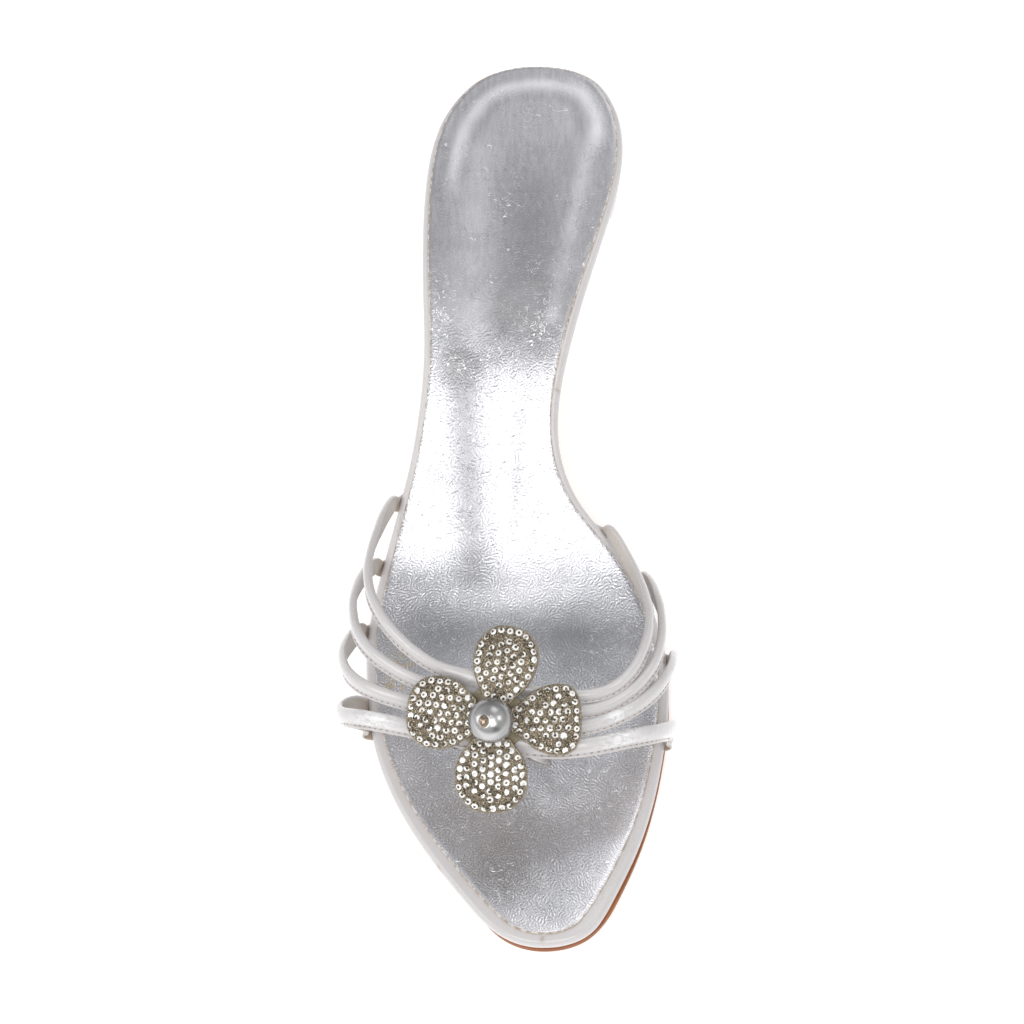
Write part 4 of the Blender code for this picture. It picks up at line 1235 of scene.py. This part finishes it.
def strap_middle(strap):
    """A strap's middle line at even spacing, and how far along it each point is."""
    (lateral_anchor, medial_anchor), (lateral_lean, medial_lean) = strap["anchors"], strap["leans"]
    lateral = strap_tail(lateral_anchor, -1, lateral_lean)
    medial = strap_tail(medial_anchor, 1, medial_lean)
    knots = np.concatenate([lateral, strap["route"], medial[::-1]])
    reach = path_lengths(knots, 0.5)
    fine = np.linspace(0, reach[-1], 1200)
    dense = np.stack([natural_curve(reach, column)(fine) for column in knots.T], axis=1)
    gone = path_lengths(dense)
    travelled = np.linspace(0, gone[-1], int(gone[-1] / STRAP_SPACING) + 1)
    return on_path(travelled, gone, dense), travelled


def strap_line(strap):
    """A strap's middle line with its directions, width and thickness at each point."""
    middle, travelled = strap_middle(strap)
    forward = unit(np.gradient(middle, axis=0))
    out = away_from_last(middle)
    out = unit(out - forward * (out * forward).sum(axis=1)[:, None])
    total = travelled[-1]
    crown = travelled[np.argmax(middle[:, 2])]
    near = np.minimum(travelled, total - travelled)
    ends = np.where(travelled < total / 2, *strap["end_widths"])
    width = strap["width"] + (ends - strap["width"]) * (1 - ease((near - TAIL_REACH) / TAPER_LENGTH))
    width += CROWN_EXTRA_WIDTH * (1 - ease(np.abs(travelled - crown) / CROWN_REACH))
    thick = TAIL_THICK + (STRAP_THICK - TAIL_THICK) * ease((near - TAIL_REACH + 1) / SKIVE_LENGTH)
    return {
        "middle": middle, "forward": forward, "out": out, "rear": np.cross(forward, out),
        "width": width, "thick": thick, "travelled": travelled, "near": near,
    }


def strap_point(line, side, out):
    """Points of a strap's surface; side and out are in widths and thicknesses."""
    aside = line["rear"] * (side * line["width"])[:, None]
    return line["middle"] + aside + line["out"] * ((out - 0.5) * line["thick"])[:, None]


def make_strap(name, strap, looks, seed):
    """A strap with a padded roll, a stitched flange and a lining, and its row of stitches."""
    line = strap_line(strap)
    at = line["travelled"]
    wobble = line["out"] * (0.05 * np.sin(at * 0.23 + seed) + 0.03 * np.sin(at * 0.61 + 2 * seed))[:, None]
    sway = line["rear"] * (0.08 * np.sin(at * 0.13 + 3 * seed))[:, None]
    rows = [
        strap_point(line, side, out) + wobble * (0.3 if lining else 1.0) + sway
        for side, out, lining in zip(*STRAP_SECTION.values())
    ]
    points = np.stack(rows, axis=1)
    faces = tube_faces(*points.shape[:2])
    lined = STRAP_SECTION["lining"] > 0
    kinds = (lined | np.roll(lined, -1)).astype(int).tolist() * (len(points) - 1) + [0, 0]
    materials = [looks["strap_leather"], looks["lining"]]
    name_of_strap = "strap_" + name
    obj = add_piece(name_of_strap, place(points), faces, materials, ["upper_straps"], kinds)
    mark_strap(obj, line, strap["painted_shine"], lined, seed)
    make_stitches(name, line, wobble + sway, looks, seed)


def mark_strap(obj, line, painted_shine_places, lined, seed):
    """Painted highlights on a strap's roll, and painted shade in its fold, along its edges and towards its
    ends.
    """
    side = STRAP_SECTION["side"]
    across = line["middle"][:, 1]
    # Painted highlight on the roll where the strap shines.
    painted_shine = np.zeros(len(across))
    for middle, reach in painted_shine_places:
        painted_shine += bell(across, middle, reach)
    point_values(obj, "painted_shine", painted_shine[:, None] * (ease((side + 0.3) / 0.1) * ~lined))
    # Painted shade in the fold between roll and flange, along both edges and towards the ends, more on the
    # lining.
    uneven = 0.6 + 0.4 * np.sin(line["travelled"] * 0.37 + seed)
    fold = 0.30 * bell(side, -0.33, 0.09) * ~lined
    edges = 0.35 * bell(side, -0.5, 0.10) + 0.15 * bell(side, 0.5, 0.08)
    root = 1 - ease((line["near"] - 7.0) / 9.0)
    point_values(obj, "soil_and_shade", uneven[:, None] * fold + edges + root[:, None] * (0.12 + 0.36 * lined))


def make_stitches(name, line, shift, looks, seed):
    """A row of short stitches sunk in the flange beside the strap's front edge."""
    rng = np.random.default_rng(10 + seed)
    seam = strap_point(line, STITCH_SIDE, STITCH_OUT) + shift
    at = line["travelled"]
    places = []
    for here in np.arange(SEAM_END, at[-1] - SEAM_END, STITCH_PITCH):
        forward = on_path(here, at, line["forward"])
        out = on_path(here, at, line["out"])
        rear = np.cross(forward, out)
        forward = forward + rear * rng.normal(0, STITCH_SKEW)
        matrix = np.column_stack([forward, rear, out]) * STITCH_SIZE
        places.append((matrix, on_path(here, at, seam) + out * rng.normal(-STITCH_SUNK, STITCH_SUNK)))
    points, faces = copies(capsule(), places)
    add_piece("stitches_" + name, place(points), faces, [looks["stitch_thread"]])


def turned(profile, sides):
    """A turned shape about Z from (radius, height), bottom first, closed at its ends."""
    turn = 2 * pi * np.arange(sides) / sides
    rings = [np.column_stack([r * np.cos(turn), r * np.sin(turn), np.full(sides, z)]) for r, z in profile]
    return np.concatenate(rings), tube_faces(len(profile), sides)


def capsule():
    """A stitch along X: unit half length and unit radius, with rounded ends."""
    ends = [(0.25, 1.0), (0.65, 0.92), (0.95, 0.7)]
    profile = [(radius, -x) for radius, x in ends] + [(1.0, 0.0)] + ends[::-1]
    points, faces = turned(profile, 8)
    return points[:, [2, 0, 1]], faces


# Flower


def flower_matrix():
    """The flower's own frame: its X is the medial side, its Y runs up the instep, its Z is outwards."""
    origin = place([FLOWER_ALONG, FLOWER_ACROSS, last["ridge"](np.array(FLOWER_ALONG))])
    return Matrix.Translation(origin.tolist()) @ Matrix.Rotation(FLOWER_PITCH, 4, "X")


PLATE_TOP = STRAP_THICK / 2 + GAP + PLATE_LIFT + PLATE_THICK
PETAL_TOP = PLATE_TOP + GAP + PETAL_THICK
BEAD_HEIGHT = PLATE_TOP + PLATE_BOSS_HEIGHT + GAP + BEAD_RADIUS
FLOWER_FRAME = np.array(flower_matrix())


def from_flower(points):
    """Points of the flower's frame, in millimetres, in the model's frame in metres."""
    return points * MM @ FLOWER_FRAME[:3, :3].T + FLOWER_FRAME[:3, 3]


def petal_half_width(petal):
    widths = PETAL_WIDTH["slim"] + petal["full"] * (PETAL_WIDTH["full"] - PETAL_WIDTH["slim"])
    return smooth_through(PETAL_WIDTH["reach"], widths * petal["breadth"])


def petal_length(petal, side):
    """A petal's length from its root, shorter towards its sides where its tip is round."""
    return petal["tip"] - petal["round"] * np.abs(side) ** 3 - PETAL_ROOT


def petal_point(petal, reach, side):
    """Points of a petal's upper face, with its own X outwards."""
    outward = PETAL_ROOT + petal_length(petal, side) * reach
    across = side * petal_half_width(petal)(reach)
    rise = PETAL_ARCH * np.sin(pi * reach) - PETAL_TIP_FALL * reach**3
    fall = PETAL_FALL * side * side * np.sin(0.5 * pi * np.minimum(reach / PETAL_FALL_REACH, 1.0))
    return np.stack([outward, across, PETAL_TOP + rise - fall], axis=-1)


def petal_over(petal, plan):
    """The petal's upper face over places (outward, across) in its plane."""
    half_width = petal_half_width(petal)
    side = np.zeros(len(plan))
    for _ in range(20):
        reach = np.clip((plan[:, 0] - PETAL_ROOT) / petal_length(petal, side), 0.0, 1.0)
        side = 0.5 * side + 0.5 * np.clip(plan[:, 1] / half_width(reach), -1.0, 1.0)
    return petal_point(petal, reach, side)


def petal_normals(petal, plan):
    step = 0.15
    ahead = petal_over(petal, plan + (step, 0)) - petal_over(petal, plan - (step, 0))
    aside = petal_over(petal, plan + (0, step)) - petal_over(petal, plan - (0, step))
    return unit(np.cross(ahead, aside))


def petal_outline(petal):
    """The petal's outline in its plane, anticlockwise from its root."""
    up = np.linspace(0, 1, 60)
    over = np.linspace(-1, 1, 60)
    parts = [
        petal_point(petal, up, -np.ones(60)),
        petal_point(petal, np.ones(60), over)[1:],
        petal_point(petal, up[::-1], np.ones(60))[1:],
        petal_point(petal, np.zeros(60), -over)[1:-1],
    ]
    return np.concatenate(parts)[:, :2]


def spaced(points, spacing):
    """Points at even spacing on the closed line through points."""
    points = np.concatenate([points, points[:1]])
    gone = path_lengths(points)
    count = max(1, round(gone[-1] / spacing))
    return on_path(gone[-1] * (np.arange(count) + 0.5) / count, gone, points)


def stone_places(petal, rng):
    """Stones in a row just inside the outline, then in staggered rows over the middle."""
    outline = petal_outline(petal)
    tangent = np.roll(outline, -1, axis=0) - np.roll(outline, 1, axis=0)
    ring = outline + left_of(tangent) * STONE_INSET
    ring = ring[outline_distance(ring, outline) > STONE_INSET - 0.04]
    places = [spaced(ring, STONE_PITCH)]
    for row in range(-6, 7):
        along = np.arange(PETAL_ROOT + 0.5 * STONE_PITCH * (row % 2), petal["tip"], STONE_PITCH)
        across = np.full(len(along), row * 0.9 * STONE_PITCH)
        reach = (along - PETAL_ROOT) / (petal["tip"] - PETAL_ROOT)
        line = np.column_stack([along, across])[np.abs(across) < petal_half_width(petal)(reach)]
        if len(line):
            places.append(line[outline_distance(line, outline) > STONE_INSET + 0.8 * STONE_PITCH])
    kept = []
    for here in np.concatenate(places):
        apart = all(np.hypot(*(here - other)) > STONE_NEAREST for other in kept)
        if apart and here[0] > PETAL_ROOT + 1.0:
            kept.append(here)
    return np.array(kept) + rng.normal(0, STONE_SCATTER, (len(kept), 2))


def gem():
    """A cut stone of unit radius: girdle, a wide crown and a flat middle, whose light and dark are painted
    by their materials.
    """
    sides = STONE_SIDES
    turn = 2 * pi * np.arange(sides) / sides
    rings = [
        np.column_stack([radius * np.cos(angles), radius * np.sin(angles), np.full(sides, up)])
        for radius, angles, up in (
            (1.0, turn, -0.25), (1.0, turn, 0.0), (0.66, turn + pi / sides, 0.30), (0.42, turn, 0.32)
        )
    ]
    faces = []
    for i in range(sides):
        j = (i + 1) % sides
        faces.append((i, j, sides + j, sides + i))
        faces.append((sides + i, sides + j, 2 * sides + i))
        faces.append((sides + j, 2 * sides + j, 2 * sides + i))
        faces.append((2 * sides + i, 2 * sides + j, 3 * sides + j))
        faces.append((2 * sides + i, 3 * sides + j, 3 * sides + i))
    faces.append(tuple(range(3 * sides, 4 * sides)))
    return np.concatenate(rings), faces


def stone_face_kinds(rng):
    """Which of a stone's faces get a painted highlight (0), painted shade (1) or are its middle (2)."""
    dark = int(rng.choice([0, 0, 1, 2, 2, 3, 4]))
    start = rng.integers(0, STONE_SIDES)
    kinds = []
    for i in range(STONE_SIDES):
        shaded = (i - start) % STONE_SIDES < dark
        kinds += [1] + 4 * [int(shaded)]
    return kinds + [2]


def ball():
    """A small round grain of unit radius."""
    sides = GRAIN_SIDES
    points = [(0, 0, 1)]
    for i in range(1, GRAIN_RINGS):
        angle = pi * i / GRAIN_RINGS
        for k in range(sides):
            turn = 2 * pi * (k + 0.5 * i) / sides
            points.append((np.sin(angle) * np.cos(turn), np.sin(angle) * np.sin(turn), np.cos(angle)))
    points.append((0, 0, -1))
    faces = [(0, 1 + k, 1 + (k + 1) % sides) for k in range(sides)]
    faces += strip_faces(GRAIN_RINGS - 1, sides, True, 1)
    end = len(points) - 1
    faces += [(end, end - sides + (k + 1) % sides, end - sides + k) for k in range(sides)]
    return np.array(points, float), faces


def upright(normal, turn):
    """A frame whose Z is normal, turned about it."""
    aside = unit(np.cross(normal, (0.0, 1.0, 0.0)))
    x = aside * np.cos(turn) + np.cross(normal, aside) * np.sin(turn)
    return np.column_stack([x, np.cross(normal, x), normal])


def petal_plate(petal):
    """A curved plate: its points, its faces and 1 on its raised rim, 0 inside it."""
    width = PETAL_RUNGS + 1
    reach, side = np.meshgrid(np.linspace(0, 1, PETAL_ROWS + 1), np.linspace(-1, 1, width), indexing="ij")
    top = petal_point(petal, reach, side).reshape(-1, 3)
    inset = outline_distance(top[:, :2], petal_outline(petal))
    rim = 1 - ease((inset - PETAL_RIM_WIDTH) / PETAL_BEVEL)
    top[:, 2] += PETAL_RIM_HEIGHT * rim - PETAL_FACE_SUNK * (2 - ease(inset / PETAL_BEVEL))
    under = top - (0, 0, PETAL_THICK - PETAL_FACE_SUNK)
    count = len(top)
    faces = strip_faces(PETAL_ROWS + 1, width, False)
    faces += [tuple(corner + count for corner in face)[::-1] for face in faces]
    last_row = PETAL_ROWS * width
    border = list(range(0, last_row, width)) + list(range(last_row, last_row + width))
    border += [row + PETAL_RUNGS for row in range(last_row - width, -1, -width)]
    border += list(range(PETAL_RUNGS - 1, 0, -1))
    for here, after in zip(border, border[1:] + border[:1]):
        faces.append((here, here + count, after + count, after))
    return np.concatenate([top, under]), faces, np.concatenate([rim, np.full(count, 0.6)])


def petal_stones(petal, seed):
    """A petal's stones and the grains round them, each stone's painted flash and its faces' kinds."""
    rng = np.random.default_rng(seed)
    spots = stone_places(petal, rng)
    stones = []
    grains = []
    painted_glints = []
    kinds = []
    for seat, normal in zip(petal_over(petal, spots), petal_normals(petal, spots)):
        leaning = unit(normal + rng.normal(0, STONE_LEAN, 3) * (1, 1, 0))
        size = STONE_RADIUS * rng.uniform(*STONE_SIZES)
        matrix = upright(leaning, rng.uniform(0, pi))
        stones.append((matrix * size, seat + normal * STONE_PROUD))
        # How light each stone's painted flash is; a larger power darkens more stones into painted shade.
        painted_glints.append(rng.uniform(0, 1) ** petal["painted_shade"])
        kinds += stone_face_kinds(rng)
        start = rng.uniform(0, pi / 2)
        around = upright(normal, 0.0)
        for k in range(GRAINS_EACH):
            angle = start + k * 2 * pi / GRAINS_EACH + rng.normal(0, 0.15)
            offset = around[:, 0] * np.cos(angle) + around[:, 1] * np.sin(angle)
            size = rng.uniform(*GRAIN_RADII)
            grains.append((np.eye(3) * size, seat + offset * GRAIN_REACH + normal * GRAIN_PROUD))
    return stones, grains, painted_glints, kinds


def make_petal(name, petal, looks, seed):
    """A curved plate with a raised rim, its stones and the grains that hold them."""
    turn = np.array(Matrix.Rotation(radians(petal["turn"]), 3, "Z")).T
    points, faces, rim = petal_plate(petal)
    brass = [looks["antique_brass"]]
    plate = add_piece(name + "_plate", from_flower(points @ turn), faces, brass, [name])
    point_values(plate, "rim", rim)
    stones, grains, painted_glints, kinds = petal_stones(petal, seed)
    template = gem()
    points, faces = copies(template, stones)
    facets = [looks["stone_crown"], looks["stone_shade"], looks["stone_table"]]
    placed = from_flower(points @ turn)
    gems = add_piece(name + "_stones", placed, faces, facets, (), kinds, False)
    point_values(gems, "painted_glint", np.repeat(painted_glints, len(template[0])))
    points, faces = copies(ball(), grains)
    add_piece(name + "_grains", from_flower(points @ turn), faces, [looks["grain_brass"]])


def bead_painted_shade(away):
    """Painted shade on the bead where it would mirror its surroundings dark, by directions from its
    middle.
    """
    plan = away[:, :2]
    painted_shade = 0.60 * ease((np.hypot(*plan.T) - 0.60) / 0.22)
    for middle, squash, reach, strength in (
        ((0.05, 0.50), (1.0, 1.0), 0.7, 0.55),
        ((0.30, -0.34), (1.0, 1.3), 0.42, 0.85),
        ((-0.1, -0.78), (0.6, 1.3), 0.5, -0.50),
    ):
        painted_shade += strength * bell(np.linalg.norm((plan - middle) * squash, axis=1), 0.0, reach)
    painted_shade += 0.5 * ease((-0.86 - away[:, 1]) / 0.1)
    return np.clip(painted_shade, 0, 1)


def make_bead(looks):
    """The silver bead, dimpled round its pin, and the pin's oval head."""
    centre = (0, 0, BEAD_HEIGHT)
    angles = np.linspace(-pi / 2, pi / 2, 61)[1:-1]
    points, faces = turned([(BEAD_RADIUS * np.cos(a), BEAD_RADIUS * np.sin(a)) for a in angles], 96)
    tilt = np.array(Matrix.Rotation(-PIN_TILT, 3, "Y"))
    axis = tilt @ (0, 0, 1)
    off_axis = np.linalg.norm(np.cross(points, axis), axis=1)
    near_pin = (points @ axis > 0) * (1 - ease((off_axis - DIMPLE_RADIUS) / DIMPLE_SLOPE))
    points = points * (1 - DIMPLE_SHARE * near_pin)[:, None]
    silver = [looks["satin_silver"]]
    bead = add_piece("bead_silver", from_flower(points + centre), faces, silver, ["bead"])
    point_values(bead, "painted_shade", bead_painted_shade(unit(points)))
    base = BEAD_RADIUS * 0.985
    neck = base + PIN_NECK_TOP
    head = [(PIN_RADIUS, base - 0.1), (1.0, base + 0.12), (1.0, base + 0.3), (PIN_RADIUS, neck)]
    for angle in np.linspace(0, pi / 2, 13)[1:-1]:
        head.append((PIN_RADIUS * np.cos(angle), neck + PIN_DOME * np.sin(angle)))
    points, faces = turned(head, 32)
    points = (points * PIN_STRETCH) @ tilt.T + centre
    add_piece("pin_head", from_flower(points), faces, [looks["pin_brass"]], ["bead_pin"])


def tongue(line, half_width):
    """One bent end of the fixing strip, along its middle line and narrower at its tip."""
    line = np.array(line)
    knots = np.arange(len(line), dtype=float)
    share = np.linspace(0, 1, TONGUE_ROWS)
    middle = np.stack([smooth_through(knots, column)(share * knots[-1]) for column in line.T], axis=1)
    aside = unit(np.cross(np.gradient(middle, axis=0), (0.0, 0.0, 1.0)))
    narrow = half_width * np.sqrt(np.clip(1.02 - share**6, 0, 1))
    rows = [middle + aside * (side * narrow)[:, None] + (0, 0, up) for side, up in TONGUE_SECTION]
    return np.stack(rows, axis=1).reshape(-1, 3), tube_faces(TONGUE_ROWS, len(rows))


def make_tongues(looks):
    """The two bent ends of the flower's fixing strip that show between the petals."""
    points, faces = joined([tongue(line, half_width) for line, half_width in TONGUES])
    add_piece("flower_tongues", from_flower(points), faces, [looks["tongue_metal"]])


def make_flower(looks):
    for seed, (name, petal) in enumerate(PETALS.items()):
        make_petal(name, petal, looks, 100 + seed)
    make_bead(looks)
    make_tongues(looks)
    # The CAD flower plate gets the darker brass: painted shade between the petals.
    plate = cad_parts["flower_plate"]
    plate.data.materials.clear()
    plate.data.materials.append(looks["shaded_plate_brass"])


# Studio


def make_floor(looks):
    data = bpy.data.meshes.new("floor")
    corners = [(x * FLOOR_HALF, y * FLOOR_HALF, 0) for x, y in ((-1, -1), (1, -1), (1, 1), (-1, 1))]
    data.from_pydata(corners, [], [(0, 1, 2, 3)])
    data.materials.append(looks["studio_floor"])
    floor = bpy.data.objects.new("floor", data)
    floor.location.z = -FLOOR_DROP
    bpy.context.scene.collection.objects.link(floor)


def soft_light(name, centre, size, power, colour):
    """A flat softbox that faces the shoe."""
    lamp = bpy.data.lights.new(name, "AREA")
    lamp.shape = "RECTANGLE"
    lamp.size, lamp.size_y = size
    lamp.energy = power
    lamp.color = colour
    holder = bpy.data.objects.new(name, lamp)
    holder.location = centre
    aim = LIGHTS_AIM - Vector(centre)
    holder.rotation_euler = aim.to_track_quat("-Z", "Y").to_euler()
    bpy.context.scene.collection.objects.link(holder)


def make_lights():
    world = bpy.data.worlds.new("studio")
    world.use_nodes = True
    background = world.node_tree.nodes["Background"]
    background.inputs["Color"].default_value = WORLD_COLOUR
    background.inputs["Strength"].default_value = WORLD_STRENGTH
    bpy.context.scene.world = world
    for light in LIGHTS:
        soft_light(*light)


def make_camera():
    lens = bpy.data.cameras.new("camera")
    lens.lens = CAMERA_LENS
    lens.sensor_width = 36.0
    lens.clip_start = 0.01
    lens.clip_end = 20.0
    camera = bpy.data.objects.new("camera", lens)
    camera.location = CAMERA_PLACE
    rotation = Matrix.Rotation(pi / 2 - CAMERA_ELEVATION, 3, "X") @ Matrix.Rotation(CAMERA_TURN, 3, "Y")
    camera.rotation_euler = rotation.to_euler()
    bpy.context.scene.collection.objects.link(camera)
    bpy.context.scene.camera = camera


bpy.context.scene.view_settings.view_transform = "Standard"
looks = make_looks()
make_camera()
make_lights()
make_floor(looks)
make_outsole(looks)
make_board(looks)
make_sock(looks)
make_heel(looks)
make_heel_tip(looks)
for number, (name, strap) in enumerate(STRAPS.items()):
    make_strap(name, strap, looks, number)
make_flower(looks)
